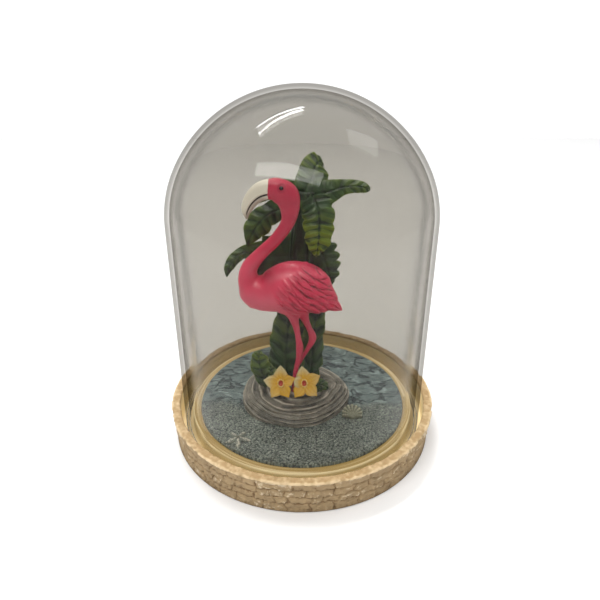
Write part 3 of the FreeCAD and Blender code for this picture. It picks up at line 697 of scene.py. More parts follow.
class JAR_OT_tray(bpy.types.Operator):
    """Cast and paint the stone tray"""

    bl_idname = "jar.tray"
    bl_label = "Stone tray"

    def execute(self, context):
        given = context.scene.jar_tray
        low, high = box_mm("base_tray")
        disc = box_mm("sea_disc")[1][0]
        rows = tray_section(high[0], high[2], low[2], given.rim_width / MM, given.channel_floor / MM, disc)
        columns = 1150
        inner = rows[1:-1]
        radius, height, zone = (np.repeat(inner[:, part : part + 1], columns, axis=1) for part in range(3))
        turn = np.repeat(ring_angles(columns)[None, :], len(inner), axis=0)
        around = 2 * math.pi * high[0]
        arc = turn / (2 * math.pi) * around
        round_place = np.stack([np.cos(turn) * high[0], np.sin(turn) * high[0], height], axis=-1)

        stones, number = course_stones(arc, height - low[2], high[2] - low[2], around)
        rough = layered(round_place, 1.7, 4, 41)
        stipple = lumps(round_place, 0.8, 43)
        faces = stones * (0.85 + 0.50 * rough + 0.30 * stipple)
        chips = step(layered(round_place * [1, 1, 0.0], 3.2, 3, 47), -0.1, 0.5)
        tangent = np.gradient(inner[:, :2], axis=0)
        normal = unit(np.stack([tangent[:, 1], -tangent[:, 0]], axis=-1))
        wall_out = given.joint_depth / MM * (np.clip(faces, 0, 1.15) - 1.15)
        near_rim = step(height, high[2] - 2.2, high[2] - 0.6)
        wall_out = wall_out * (1 - 0.55 * near_rim) - 0.5 * near_rim * chips
        rim_place = np.stack([np.cos(turn) * radius, np.sin(turn) * radius, height], axis=-1)
        pits = lumps(rim_place, 1.15, 51) + 0.6 * lumps(rim_place, 0.62, 53)
        rim_out = -0.16 + 0.14 * pits - 0.20 * step(layered(rim_place, 3.0, 3, 55), 0.0, 0.6)
        edge = step(radius, high[0] - 1.5, high[0] - 0.2)
        rim_out -= 0.5 * edge * chips
        streak = lumps(np.stack([arc * 0.035, (radius + height * 0.9) * 2.1], axis=-1), 1.0, 61)
        ledge_out = -0.05 + 0.05 * streak
        zones = [zone == WALL, zone == RIM, zone == LEDGE]
        out = np.select(zones, [wall_out, rim_out, ledge_out], 0.0)
        # The wall's top near the rim and the rim's outer edge get high relief, so pale paint: a painted highlight
        # along the tray's edge, partly dry brush.
        relief = np.select(
            zones,
            [
                np.clip(0.70 * faces + 0.30 * near_rim * (1 - chips) + 0.10 * number, 0, 1.2),
                0.53 + 0.23 * pits + 0.45 * edge * (1 - chips) + 0.22 * rough,
                # The ledge away from the disc gets high relief, which paints it near-white gold: painted light in
                # the shaded channel.
                np.where(radius < disc + 3.0, 0.32, 0.85) + 0.35 * streak,
            ],
            0.3,
        )
        radius = radius + out * normal[:, :1]
        height = height + out * normal[:, 1:2]
        grid = np.stack([radius * np.cos(turn), radius * np.sin(turn), height], axis=-1)
        ledge, rim = (zone == LEDGE).astype(float), (zone == RIM).astype(float)
        tray = closed_tube("tray_casting", grid, relief=relief, ledge=ledge, rim=rim)
        finish_piece(tray, BASE, tray_material(given.stone), ["base_tray"])
        return {"FINISHED"}


def tray_material(stone):
    """Tan stone with brown joints and pale dry-brushed edges; a rim paler than the wall, partly painted light,
    with a painted highlight along its outer edge; and a streaked gold-tan ledge and channel, painted up to near
    white as painted light over their shade.
    """
    material, shade, shader, toned = painted(
        "tray_stone_paint", colour(0.24, 0.145, 0.065), colour(*stone), colour(0.66, 0.53, 0.36),
        levels=(0.24, 0.68), patchiness=0.80, roughness=0.72, tooth=0.12, uneven=0.35,
    )
    relief = shade.value("relief")
    # Painted light: the ledge and channel run from gold-tan to near white, far paler than their paint, to light
    # the channel that the glass and rim shade.
    ledge_gold_and_painted_light = shade.blend(shade.rise(relief, 0.25, 0.85), colour(0.48, 0.33, 0.11), colour(0.98, 0.82, 0.50))
    # The rim is painted paler than the wall's coat, partly painted light on the tray's top; its pale outer edge is
    # a painted highlight.
    rim = shade.blend(shade.rise(relief, 0.3, 1.1), colour(0.40, 0.26, 0.115), colour(0.72, 0.55, 0.33))
    with_rim = shade.blend(shade.value("rim"), toned, rim)
    shade.put(shader.inputs["Base Color"], shade.blend(shade.value("ledge"), with_rim, ledge_gold_and_painted_light))
    shade.put(shader.inputs["Roughness"], shade.rise(shade.value("ledge"), 0.0, 1.0, 0.74, 0.42))
    return material


# ---------------------------------------------------------------- sea bed
class JAR_OT_sea_bed(bpy.types.Operator):
    """Cast and paint the sea bed"""

    bl_idname = "jar.sea_bed"
    bl_label = "Sea bed"

    def execute(self, context):
        given = context.scene.jar_sea
        low, high = box_mm("sea_disc")
        reach, thick = high[0], high[2] - low[2]
        columns, rounding = 960, 0.6
        top = np.concatenate([np.linspace(4, 16, 14), np.linspace(16, reach - rounding, 128)[1:]])
        edge = np.radians(np.linspace(90, 0, 6))[1:]
        radii = np.concatenate([top, reach - rounding + rounding * np.cos(edge), [reach, reach - 0.02, 10.0]])
        drop = np.concatenate([np.zeros(len(top)), rounding * (1 - np.sin(edge)), [thick - 0.05, thick, thick]])
        turn = ring_angles(columns)[None, :]
        x = radii[:, None] * np.cos(turn)
        y = radii[:, None] * np.sin(turn)
        plane = np.stack([x, y], axis=-1)
        sand, shade_of_grain = grains(plane, given.grain / MM, 71)
        rocky = step(y + 8.0 + 6.0 * layered(plane, 11.0, 3, 73), -2.0, 3.0)
        warp = plane + 2.4 * np.stack([layered(plane, 7.0, 3, 77), layered(plane, 7.0, 3, 79)], axis=-1)
        plates = lumps(warp * [0.40, 1.0], 2.3, 81) + 0.35 * lumps(warp * [0.5, 1.0], 1.1, 87)
        crack = 1 - step(np.abs(plates), 0.04, 0.22)
        lip = step(plates, 0.16, 0.34) * (1 - step(plates, 0.34, 0.85))
        slabs = 0.50 + 0.34 * layered(plane * [0.6, 1.0], 1.8, 4, 83) + 0.20 * lip - 0.46 * crack
        relief = rocky * slabs + (1 - rocky) * (0.14 + 0.80 * sand * (0.45 + 0.55 * shade_of_grain))
        on_top = (drop[:, None] < 0.5).astype(float)
        height = high[2] - drop[:, None] + on_top * (-0.42 + 0.42 * np.clip(relief, 0, 1))
        points = np.stack([x, y, height * np.ones_like(x)], axis=-1)
        middle = np.array([[0, 0, high[2] - 0.3], [0, 0, low[2]]])
        sea = new_mesh(
            "sea_casting", np.vstack([points.reshape(-1, 3), middle]),
            grid_faces(len(radii), columns), end_fans(len(radii), columns),
            relief=np.append(relief.ravel(), [0.4, 0.4]), rocky=np.append(rocky.ravel(), [0.4, 0.4]),
        )
        finish_piece(sea, BASE, sea_material(given.sea), ["sea_disc"])
        return {"FINISHED"}


def sea_material(sea):
    """Blue-grey sea bed: dark between the sand's grains and in the cracks, pale on the lips."""
    material, shade, shader, toned = painted(
        "sea_bed_paint", colour(0.030, 0.042, 0.042), colour(*sea), colour(0.36, 0.39, 0.33),
        levels=(0.40, 0.60), patchiness=0.25, roughness=0.55, tooth=0.03, uneven=0.6,
    )
    bluer = shade.blend(0.75, toned, colour(0.75, 0.92, 1.12), "MULTIPLY")
    shade.put(shader.inputs["Base Color"], shade.blend(shade.value("rocky"), toned, bluer))
    return material


# ---------------------------------------------------------------- rock
def rock_grid(rows, columns):
    """The rock's skin from its top's middle out and down to its foot, lobed, with a bank and a hollow on one side.
    """
    low, high = box_mm("rock")
    centre = (low + high) / 2
    half = (high - low) / 2
    turn = ring_angles(columns)[None, :]
    section = smooth_rows(
        [
            (0.10, 0.90), (0.40, 0.93), (0.62, 0.95), (0.78, 0.86),
            (0.90, 0.66), (0.965, 0.42), (0.99, 0.20), (0.985, -0.08),
        ],
        rows,
    )
    out, up = section[:, :1], section[:, 1:2]
    lobes = 1 + 0.018 * np.sin(3 * turn + 0.6) + 0.012 * np.sin(5 * turn + 2.0)
    x = centre[0] + half[0] * out * lobes * np.cos(turn) * 0.985
    y = centre[1] + half[1] * out * lobes * np.sin(turn) * 0.985
    tall = high[2] - low[2]
    ridge = np.exp(-(((turn - 0.35 + math.pi) % (2 * math.pi) - math.pi) / 0.75) ** 2)
    bank = ridge * np.exp(-((out - 0.74) / 0.16) ** 2)
    hollow = ridge * np.exp(-((out - 0.42) / 0.16) ** 2)
    z = low[2] + tall * (up + 0.06 * bank - 0.16 * hollow)
    return np.stack([x, y, z * np.ones_like(x)], axis=-1), out, turn


class JAR_OT_rock(bpy.types.Operator):
    """Cast and paint the layered rock"""

    bl_idname = "jar.rock"
    bl_label = "Layered rock"

    def execute(self, context):
        grid, out, turn = rock_grid(190, 720)
        normal = grid_normals(grid)
        normal[..., 2] = np.abs(normal[..., 2])
        wind = 0.9 * np.sin(turn - 0.9) + 0.35 * np.sin(2 * turn + 1.3)
        warp = layered(grid, 9.0, 2, 91)
        low, high = box_mm("rock")
        strata = out * 5.5 - 0.55 * (grid[..., 2] - low[2]) + 0.6 * wind + 0.55 * warp
        share = strata - np.floor(strata)
        shelf = step(share, 0.0, 0.72) - step(share, 0.80, 1.0)
        streak_place = np.stack([turn * 2.2 * np.ones_like(out), strata], axis=-1)
        streak = lumps(streak_place * [1.0, 3.4], 1.0, 97) + 0.5 * lumps(streak_place * [2.3, 7.0], 1.0, 99)
        fine = layered(grid, 1.3, 3, 101)
        amount = step(out, 0.15, 0.5) * np.ones_like(turn)
        push = amount * (0.62 * (shelf - 0.6) + 0.16 * streak) + 0.08 * fine
        moved = grid + normal * push[..., None]
        moved[..., 2] = np.minimum(moved[..., 2], high[2])
        lip = np.exp(-(((share - 0.76) / 0.07) ** 2))
        relief = 0.22 + 0.30 * shelf + 0.34 * streak + 0.22 * lip + 0.1 * fine
        rock = closed_tube("rock_casting", moved, relief=relief)
        material = painted(
            "rock_paint", colour(0.055, 0.052, 0.042), colour(0.185, 0.168, 0.132), colour(0.50, 0.45, 0.37),
            levels=(0.24, 0.52), patchiness=0.45, roughness=0.5, tooth=0.03, uneven=0.6,
        )[0]
        finish_piece(rock, BASE, material, ["rock"])
        return {"FINISHED"}


# ---------------------------------------------------------------- sea creatures
SCALLOP_TURN = -4.0
SCALLOP_FAN = 72
STARFISH_TURN = 25


class JAR_OT_sea_creatures(bpy.types.Operator):
    """Cast and paint the scallop and the starfish"""

    bl_idname = "jar.sea_creatures"
    bl_label = "Scallop and starfish"

    def execute(self, context):
        self.scallop()
        self.starfish()
        return {"FINISHED"}

    def scallop(self):
        low, high = box_mm("scallop_shell")
        middle = (low + high) / 2
        span = (high - low)[:2].mean()
        rows, columns = 60, 150
        reach = np.linspace(0.0, 1.0, rows)[:, None]
        fan = np.radians(np.linspace(-SCALLOP_FAN, SCALLOP_FAN, columns))[None, :]
        wave = np.cos(fan / math.radians(SCALLOP_FAN) * math.pi * 8)
        length = span * (0.86 * np.cos(fan) ** 0.30 + 0.012 * wave)
        x = 0.92 * reach * length * np.sin(fan)
        y = reach * length * np.cos(fan) - span * 0.48
        rings = 0.06 * np.sin(reach * 30.0)
        crown = np.sin(math.pi * np.clip(0.16 + 0.84 * reach**0.8, 0, 1))
        z = 0.42 + 1.1 * crown + 0.12 * wave * np.sqrt(reach) + rings + 0.34 * (y + span * 0.48)
        relief = 0.50 + 0.40 * wave * np.sqrt(reach) + 0.8 * rings
        spin = math.radians(SCALLOP_TURN)
        front = np.stack([x, y, z], axis=-1)
        back = front.copy()
        back[..., 2] = -0.6
        loop = wrapped(front, back)
        turned = loop.copy()
        turned[..., 0] = loop[..., 0] * math.cos(spin) - loop[..., 1] * math.sin(spin)
        turned[..., 1] = loop[..., 0] * math.sin(spin) + loop[..., 1] * math.cos(spin)
        turned += np.array([middle[0], middle[1], SEA_LEVEL - 0.05])
        shell = closed_tube("scallop_casting", turned, relief=wrapped(relief, np.full(relief.shape, 0.3)))
        material = painted(
            "shell_paint", colour(0.075, 0.08, 0.05), colour(0.25, 0.255, 0.17), colour(0.48, 0.47, 0.35),
            levels=(0.32, 0.66), patchiness=0.3, roughness=0.45,
        )[0]
        finish_piece(shell, BASE, material, ["scallop_shell"])

    def starfish(self):
        low, high = box_mm("starfish")
        middle = (low + high) / 2
        arm = (high - low)[:2].max() / 2 * 1.02
        rows, columns = 46, 300
        reach = np.linspace(0.02, 1.0, rows)[:, None]
        turn = ring_angles(columns)[None, :]
        folded = np.abs(((turn * 5 / (2 * math.pi)) % 1.0) - 0.5) * 2
        outline = arm * (0.36 + 0.64 * np.clip(1 - folded, 0, 1) ** 1.25)
        radius = reach * outline
        spin = math.radians(STARFISH_TURN)
        x = radius * np.cos(turn + spin)
        y = radius * np.sin(turn + spin)
        crest = 1 - step(folded, 0.0, 0.9)
        z = 1.25 * np.sqrt(np.clip(1 - reach**2.0, 0, 1)) * (0.55 + 0.45 * crest) * (1 - 0.35 * radius / arm)
        bumps, _ = grains(np.stack([x, y], axis=-1), 0.75, 111)
        z = z + 0.16 * bumps * (1 - reach**4)
        top = np.stack([x, y, z * np.ones_like(x)], axis=-1)
        base = top[::-1].copy()
        base[..., 2] = -0.5
        grid = np.concatenate([top, base[1:]], axis=0) + np.array([middle[0], middle[1], SEA_LEVEL - 0.05])
        relief = 0.40 + 0.5 * bumps * crest + 0.2 * crest
        whole = np.concatenate([relief * np.ones_like(x), 0.3 * np.ones_like(x[1:])], axis=0)
        star = closed_tube("starfish_casting", grid, relief=whole)
        material = painted(
            "star_paint", colour(0.07, 0.085, 0.08), colour(0.22, 0.24, 0.20), colour(0.58, 0.57, 0.47),
            levels=(0.34, 0.66), patchiness=0.7, roughness=0.5,
        )[0]
        finish_piece(star, BASE, material, ["starfish"])


# ---------------------------------------------------------------- bird
# The bird stands along one upright plane. Angles are in degrees.
BIRD_Y = -6.0
EYE_X, EYE_UP = -7.2, 92.9
WING_MIDDLE = (0.6, 52.8)
WING_REACH = (12.6, 8.6)
WING_FALL = -27

# Stations are (x, y, up from the sea bed, half height, half depth) in millimetres.
TORSO = [
    (-24.2, -6.0, 53.6, 0, 0), (-23.2, -6.0, 53.3, 3.0, 2.7), (-21.2, -6.0, 52.8, 5.0, 4.6),
    (-17.6, -6.0, 51.9, 6.5, 6.1), (-14.0, -6.0, 51.6, 7.3, 7.2), (-10.0, -6.0, 52.5, 9.1, 8.2),
    (-5.0, -6.0, 53.3, 10.5, 8.7), (0.0, -6.0, 53.4, 10.4, 8.5), (4.0, -6.0, 52.5, 8.9, 7.6),
    (7.5, -6.0, 50.4, 6.9, 6.2), (10.5, -6.0, 48.8, 4.2, 4.2), (12.6, -6.0, 47.8, 2.5, 2.6),
    (13.8, -6.0, 47.2, 0.4, 0.4),
]
NECK_AND_HEAD = [
    (-17.0, -6.0, 46.8, 3.8, 3.9), (-18.2, -6.0, 50.4, 4.4, 4.3), (-20.2, -6.0, 55.8, 4.2, 4.1),
    (-19.9, -6.0, 61.6, 3.2, 3.1), (-15.5, -6.0, 67.3, 2.45, 2.4), (-9.7, -6.0, 73.0, 2.3, 2.3),
    (-5.4, -6.0, 79.2, 2.5, 2.5), (-4.4, -6.0, 84.6, 3.5, 3.1), (-5.5, -6.0, 89.4, 4.6, 3.6),
    (-8.8, -6.0, 91.6, 4.3, 3.3), (-12.0, -6.0, 91.9, 3.5, 2.6),
]
THIGHS = [
    [
        (-4.6, -6.6, 50.0, 7.0, 4.6), (-3.9, -6.7, 45.4, 4.6, 3.7), (-3.3, -6.8, 41.8, 2.5, 2.2),
        (-2.7, -6.9, 38.8, 1.4, 1.35),
    ],
    [
        (-0.6, -4.8, 48.0, 4.6, 3.6), (0.2, -4.6, 42.6, 2.7, 2.4), (1.3, -4.4, 39.2, 1.6, 1.5),
        (1.9, -4.4, 37.6, 1.2, 1.2),
    ],
]
BILL = [
    (-10.6, -6.0, 92.0, 3.2, 2.35), (-12.2, -6.0, 91.9, 3.45, 2.55), (-15.4, -6.0, 90.6, 3.25, 2.3),
    (-18.4, -6.0, 87.6, 2.6, 1.9), (-20.0, -6.0, 84.0, 1.8, 1.3), (-20.0, -6.0, 80.8, 0.25, 0.2),
]
TAIL = [
    (4.0, -6.0, 50.4, 3.6, 3.6), (7.0, -6.0, 49.2, 3.6, 3.9), (10.5, -6.0, 47.4, 3.0, 3.3),
    (13.4, -6.0, 45.6, 1.9, 2.1), (15.7, -6.0, 44.0, 0.2, 0.2),
]
STANDING_LEG = [
    (-3.6, -6.6, 43.6, 2.6, 2.3), (-3.1, -6.8, 40.6, 1.9, 1.75), (-2.2, -7.0, 36.6, 1.25, 1.2),
    (-1.4, -7.0, 31.6, 1.15, 1.15), (-0.9, -7.0, 27.4, 1.5, 1.45), (-1.4, -7.0, 22.0, 1.15, 1.15),
    (-2.6, -7.0, 16.0, 1.0, 1.0), (-3.4, -7.0, 6.2, 1.1, 1.1),
]
BENT_LEG = [
    (-0.4, -4.6, 43.2, 2.2, 2.0), (1.2, -4.4, 39.2, 1.5, 1.4), (2.9, -4.4, 35.0, 1.15, 1.15),
    (4.3, -4.4, 30.6, 1.5, 1.4), (2.6, -4.4, 26.0, 0.95, 0.95), (0.6, -4.5, 22.4, 0.8, 0.8),
    (-1.2, -4.6, 18.6, 0.75, 0.75),
]


def wing_frame(x, up):
    """Distances along and across the wing from its shoulder, the tail end falling to the right."""
    fall = math.radians(WING_FALL)
    dx, dz = x - WING_MIDDLE[0], up - WING_MIDDLE[1]
    along = dx * math.cos(fall) + dz * math.sin(fall)
    across = -dx * math.sin(fall) + dz * math.cos(fall)
    return along, across


def feathers(along, across, depth, seed):
    """The height of overlapping pointed feathers laid in rows that curve towards the tail."""
    plane = np.stack([along, across, depth], axis=-1)
    s = along + 1.3 * layered(plane, 6.5, 2, seed)
    t = across - 0.006 * (along - 12.0) ** 2
    t = t + 1.25 * layered(plane, 6.0, 2, seed + 5) + 0.32 * lumps(plane, 2.3, seed + 9)
    height = np.zeros(along.shape)
    draw = random.Random(seed)
    laid = []
    for row in range(10):
        for place in range(-9, 8):
            side = (place + 0.5 * (row % 2)) * 3.3 + draw.uniform(-0.6, 0.6)
            root = -15.0 + 3.2 * row + draw.uniform(-1.1, 1.1)
            laid.append((root, side, draw.uniform(6.8, 9.6) + 0.25 * row, draw.uniform(3.2, 4.3)))
    laid.sort(key=lambda one: -one[0])
    for root, side, length, width in laid:
        u = (s - root) / length
        v = (t - side) / (width * 0.5)
        outline = 1.4 * np.sqrt(np.clip(u, 0, 1)) * (1 - np.clip(u, 0, 1) ** 2.0)
        inside = (u > 0) & (u < 1) & (np.abs(v) < outline)
        edge = 1 - np.abs(v) / np.maximum(outline, 1e-3)
        rise = (0.22 + 0.78 * u) * step(edge, 0.0, 0.55) * (0.80 + 0.20 * np.exp(-((v / 0.22) ** 2)))
        height = np.where(inside, rise, height)
    return height


def soften(points, edges, weight, rounds):
    """Moves each point towards the middle of its neighbours, by its own weight, for some rounds."""
    count = np.zeros(len(points))
    np.add.at(count, edges[:, 0], 1)
    np.add.at(count, edges[:, 1], 1)
    for _ in range(rounds):
        total = np.zeros_like(points)
        for axis in range(3):
            total[:, axis] = np.bincount(edges[:, 0], points[edges[:, 1], axis], len(points))
            total[:, axis] += np.bincount(edges[:, 1], points[edges[:, 0], axis], len(points))
        points = points + (total / count[:, None] - points) * weight[:, None]
    return points


def joined(name, pieces):
    """The first piece under a new name, with the meshes of all the pieces."""
    whole = pieces[0]
    for piece in pieces[1:]:
        both = bmesh.new()
        both.from_mesh(whole.data)
        both.from_mesh(piece.data)
        mesh = bpy.data.meshes.new(whole.data.name)
        both.to_mesh(mesh)
        both.free()
        whole.data = mesh
        bpy.data.objects.remove(piece)
    whole.name = name
    return whole


def fused(name, pieces, cell):
    """One closed skin round several overlapping pieces, of cells about this wide in millimetres."""
    whole = joined(name, pieces)
    remesh = whole.modifiers.new("skin", "REMESH")
    remesh.mode = "VOXEL"
    remesh.voxel_size = cell * MM
    remesh.use_smooth_shade = True
    graph = bpy.context.evaluated_depsgraph_get()
    mesh = bpy.data.meshes.new_from_object(whole.evaluated_get(graph))
    whole.modifiers.clear()
    whole.data = mesh
    mesh.name = name
    return whole


def mesh_points(mesh):
    """A mesh's points in millimetres, and its edges."""
    points = np.empty(len(mesh.vertices) * 3)
    mesh.vertices.foreach_get("co", points)
    edges = np.empty(len(mesh.edges) * 2, dtype=np.int32)
    mesh.edges.foreach_get("vertices", edges)
    return points.reshape(-1, 3) / MM, edges.reshape(-1, 2)


def mesh_normals(mesh):
    normals = np.empty(len(mesh.vertices) * 3)
    mesh.vertex_normals.foreach_get("vector", normals)
    return normals.reshape(-1, 3)


def place_points(mesh, points):
    """Moves a mesh's points to places in millimetres."""
    mesh.vertices.foreach_set("co", (points * MM).ravel())
    mesh.update()


def plumage_material(rgb):
    """Rose enamel: a crimson wash between the feathers, paler, pinker high places, and a deeper rose up the neck
    and head that also paints shade into the crease where the neck meets the back.
    """
    material, shade, shader = new_material(
        "plumage_paint", IOR=1.5, Specular_IOR_Level=0.55, Coat_Weight=0.12, Coat_Roughness=0.25,
        Subsurface_Weight=0.06, Subsurface_Scale=0.0012,
    )
    paint = hand_painted(shade, shaded(rgb, 0.32), colour(*rgb), colour(0.92, 0.18, 0.27), (0.26, 0.78), 0.10)
    toned = grained(shade, shader, paint["Color"], 0.35, 0.012)
    pale = shade.blend(shade.maths("MULTIPLY", shade.value("pale"), 0.75), toned, colour(0.86, 0.18, 0.27))
    # The deep rose carries the head's darker tone and, in the neck's crease, painted shade.
    deep = shade.blend(shade.value("deep"), pale, shaded(rgb, 0.55))
    shade.put(shader.inputs["Base Color"], deep)
    shade.put(shader.inputs["Roughness"], shade.rise(shade.noise(3.0), 0.3, 0.7, 0.34, 0.46))
    return material


def bird_values(points):
    """How pale and how deep the rose is at each point: paler on the breast, deeper up the neck and head, and
    deeper still in the crease where the neck meets the back, which is painted shade.
    """
    up = points[:, 2] - SEA_LEVEL
    breast = (1 - step(up, 46.0, 58.0)) * (1 - step(points[:, 0], -12.0, 2.0))
    crown = step(up, 62.0, 78.0)
    # Painted shade: the rose is deepened in the crease between the back of the neck and the back.
    crease_shade = np.exp(-(((points[:, 0] + 13.2) / 3.0) ** 2) - ((up - 60.6) / 2.6) ** 2)
    nape = step(up, 58.0, 62.0) * (1 - step(up, 60.0, 68.0))
    return breast + 0.25 * nape, np.clip(0.5 * crown + 0.9 * crease_shade, 0, 1)


class JAR_OT_bird_body(bpy.types.Operator):
    """Model and paint the bird's breast, back, neck and head as one smooth skin"""

    bl_idname = "jar.bird_body"
    bl_label = "Bird's body, neck and head"

    def execute(self, context):
        given = context.scene.jar_bird
        pieces = []
        for label, stations, rows in (("torso", TORSO, 90), ("neck", NECK_AND_HEAD, 150)):
            pieces.append(closed_tube(label + "_core", limb_grid(stations, rows, 80)[0]))
        for index, stations in enumerate(THIGHS):
            pieces.append(closed_tube(f"thigh_core_{index}", limb_grid(stations, 40, 48)[0]))
        body = fused("bird_body", pieces, 0.26)
        mesh = body.data
        points, edges = mesh_points(mesh)
        up = points[:, 2] - SEA_LEVEL
        front = np.exp(-(((points[:, 0] + 20.0) / 7.0) ** 2) - ((up - 54.0) / 8.0) ** 2)
        root = np.exp(-(((points[:, 0] + 3.0) / 7.0) ** 2) - ((up - 43.5) / 3.0) ** 2)
        points = soften(points, edges, np.full(len(points), 0.5), 4)
        points = soften(points, edges, np.clip(front + root, 0, 1) * 0.62, 46)
        place_points(mesh, points)
        normal = mesh_normals(mesh)

        along, across = wing_frame(points[:, 0], up)
        side = np.abs(points[:, 1] - BIRD_Y)
        height = feathers(along, across, side * 0.2, 5)
        flank = step(along, -9.0, -3.0) * (1 - step(up, 61.5, 66.0))
        flank = flank * step(up, 40.5, 44.5) * step(side, 0.4, 2.2)
        back = step(along, -6.0, 0.0) * step(up, 56.0, 60.0) * (1 - step(up, 64.0, 70.0))
        mask = np.clip(np.maximum(flank, 0.8 * back), 0, 1) * (1 - step(up, 66.0, 70.0))
        tall = given.feather_height / MM
        push = mask * tall * 0.6 * (height - 0.6)
        eye = np.sqrt((points[:, 0] - EYE_X) ** 2 + (up - EYE_UP) ** 2)
        push = push + 0.16 * np.exp(-(((eye - 1.65) / 0.35) ** 2)) * step(side, 0.8, 1.8)
        brow = np.exp(-(((points[:, 0] + 11.8) / 0.5) ** 2)) * step(up, 86.0, 88.5)
        push = push + 0.14 * brow + 0.03 * layered(points, 4.0, 2, 7) * (1 - mask)
        points = points + normal * push[:, None]
        place_points(mesh, points)
        pale, deep = bird_values(points)
        ring = np.exp(-(((eye - 1.25) / 0.22) ** 2)) * step(side, 0.8, 1.8)
        store(
            mesh,
            relief=mask * height * 0.95 + (1 - mask) * 0.60 + 0.05 * layered(points, 3.0, 3, 8),
            pale=pale,
            deep=np.clip(deep + 0.8 * ring, 0, 1),
        )
        finish_piece(body, BASE, plumage_material(given.plumage), ["torso", "neck_and_head"])
        return {"FINISHED"}


class JAR_OT_wings(bpy.types.Operator):
    """Model and paint the folded wings and the tail"""

    bl_idname = "jar.wings"
    bl_label = "Wings and tail"

    def execute(self, context):
        given = context.scene.jar_bird
        material = bpy.data.materials["plumage_paint"]
        for label, hand in (("near_wing", -1), ("far_wing", 1)):
            self.wing(label, hand, given.feather_height / MM, material)
        self.tail(given.feather_height / MM, material)
        return {"FINISHED"}

    def wing(self, label, hand, tall, material):
        """A thin raised pad that follows the body's side, its feathers laid in rows."""
        rows, columns, tip = 230, 170, 1.5
        along, across = np.meshgrid(
            np.linspace(-WING_REACH[0], WING_REACH[0] + tip, rows), np.linspace(-1, 1, columns), indexing="ij"
        )
        share = (along + WING_REACH[0]) / (2 * WING_REACH[0] + tip)
        half = WING_REACH[1] * np.sin(math.pi * np.clip(share, 0, 1) ** 0.80) ** 0.62
        across = across * np.maximum(half, 0.05)
        fall = math.radians(WING_FALL)
        x = WING_MIDDLE[0] + along * math.cos(fall) - across * math.sin(fall)
        up = WING_MIDDLE[1] + along * math.sin(fall) + across * math.cos(fall)
        path = smooth_rows(TORSO, 400)
        order = np.argsort(path[:, 0])
        centre, high, deep = (np.interp(x, path[order, 0], path[order, part]) for part in (2, 3, 4))
        offset = np.clip((up - centre) / np.maximum(high, 0.5), -0.96, 0.96)
        depth = np.maximum(deep * np.sqrt(1 - offset**2), 1.4)
        rim = np.minimum(1 - np.abs(across) / np.maximum(half, 0.05), np.minimum(share, 1 - share) * 6.0)
        inside = step(rim, 0.0, 0.22)
        height = feathers(along, across, np.full(along.shape, hand * 3.0), 5 if hand < 0 else 9)
        outer = depth - 0.8 + inside * (0.9 + tall * (height - 0.45))
        front = np.stack([x, BIRD_Y + hand * outer, up + SEA_LEVEL], axis=-1)
        back = np.stack([x, BIRD_Y + hand * (depth - 1.5), up + SEA_LEVEL], axis=-1)
        grid = wrapped(front, back)
        relief = wrapped(inside * height + (1 - inside) * 0.6, np.full(height.shape, 0.3))
        if hand > 0:
            grid, relief = grid[:, ::-1], relief[:, ::-1]
        pale = 0.4 * bird_values(grid.reshape(-1, 3))[0].reshape(relief.shape)
        wing = closed_tube(label + "_feathers", grid, relief=relief, pale=pale, deep=np.zeros(relief.shape))
        finish_piece(wing, BASE, material, [label])

    def tail(self, tall, material):
        grid, turn, share = limb_grid(TAIL, 90, 150)
        normal = grid_normals(grid)
        along, across = wing_frame(grid[..., 0], grid[..., 2] - SEA_LEVEL)
        groove = np.abs(np.sin(turn * 4.5 + 0.6 * np.sin(share * 5)))
        height = 0.25 + 0.75 * step(groove, 0.05, 0.6)
        push = (tall * 0.7) * (height - 0.9) * step(1 - share, 0.0, 0.12)
        moved = grid + normal * push[..., None]
        pale = np.full(share.shape, 0.3)
        tail = closed_tube("tail_feathers", moved, relief=height * 0.85, pale=pale, deep=0.25 * (1 - height))
        finish_piece(tail, BASE, material, ["tail"])


class JAR_OT_legs(bpy.types.Operator):
    """Model and paint the standing leg and the bent leg"""

    bl_idname = "jar.legs"
    bl_label = "Legs"

    def execute(self, context):
        material = bpy.data.materials["plumage_paint"]
        for label, stations in (("standing_leg", STANDING_LEG), ("bent_leg", BENT_LEG)):
            grid, turn, share = limb_grid(stations, 260, 64)
            normal = grid_normals(grid)
            scale = np.abs(np.sin(share * 150 + 0.5 * np.sin(turn * 2)))
            lower = step(share, 0.18, 0.35)
            push = -0.07 * lower * (1 - step(scale, 0.0, 0.4)) + 0.05 * layered(grid, 1.4, 3, 13)
            moved = grid + normal * push[..., None]
            relief = 0.62 - 0.35 * lower * (1 - step(scale, 0.0, 0.35)) + 0.1 * layered(grid, 2.0, 3, 15)
            deep = 0.30 * step(share, 0.25, 0.7)
            leg = closed_tube(label + "_cast", moved, relief=relief, pale=0.25 * (1 - share), deep=deep)
            finish_piece(leg, BASE, material, [label])
        return {"FINISHED"}


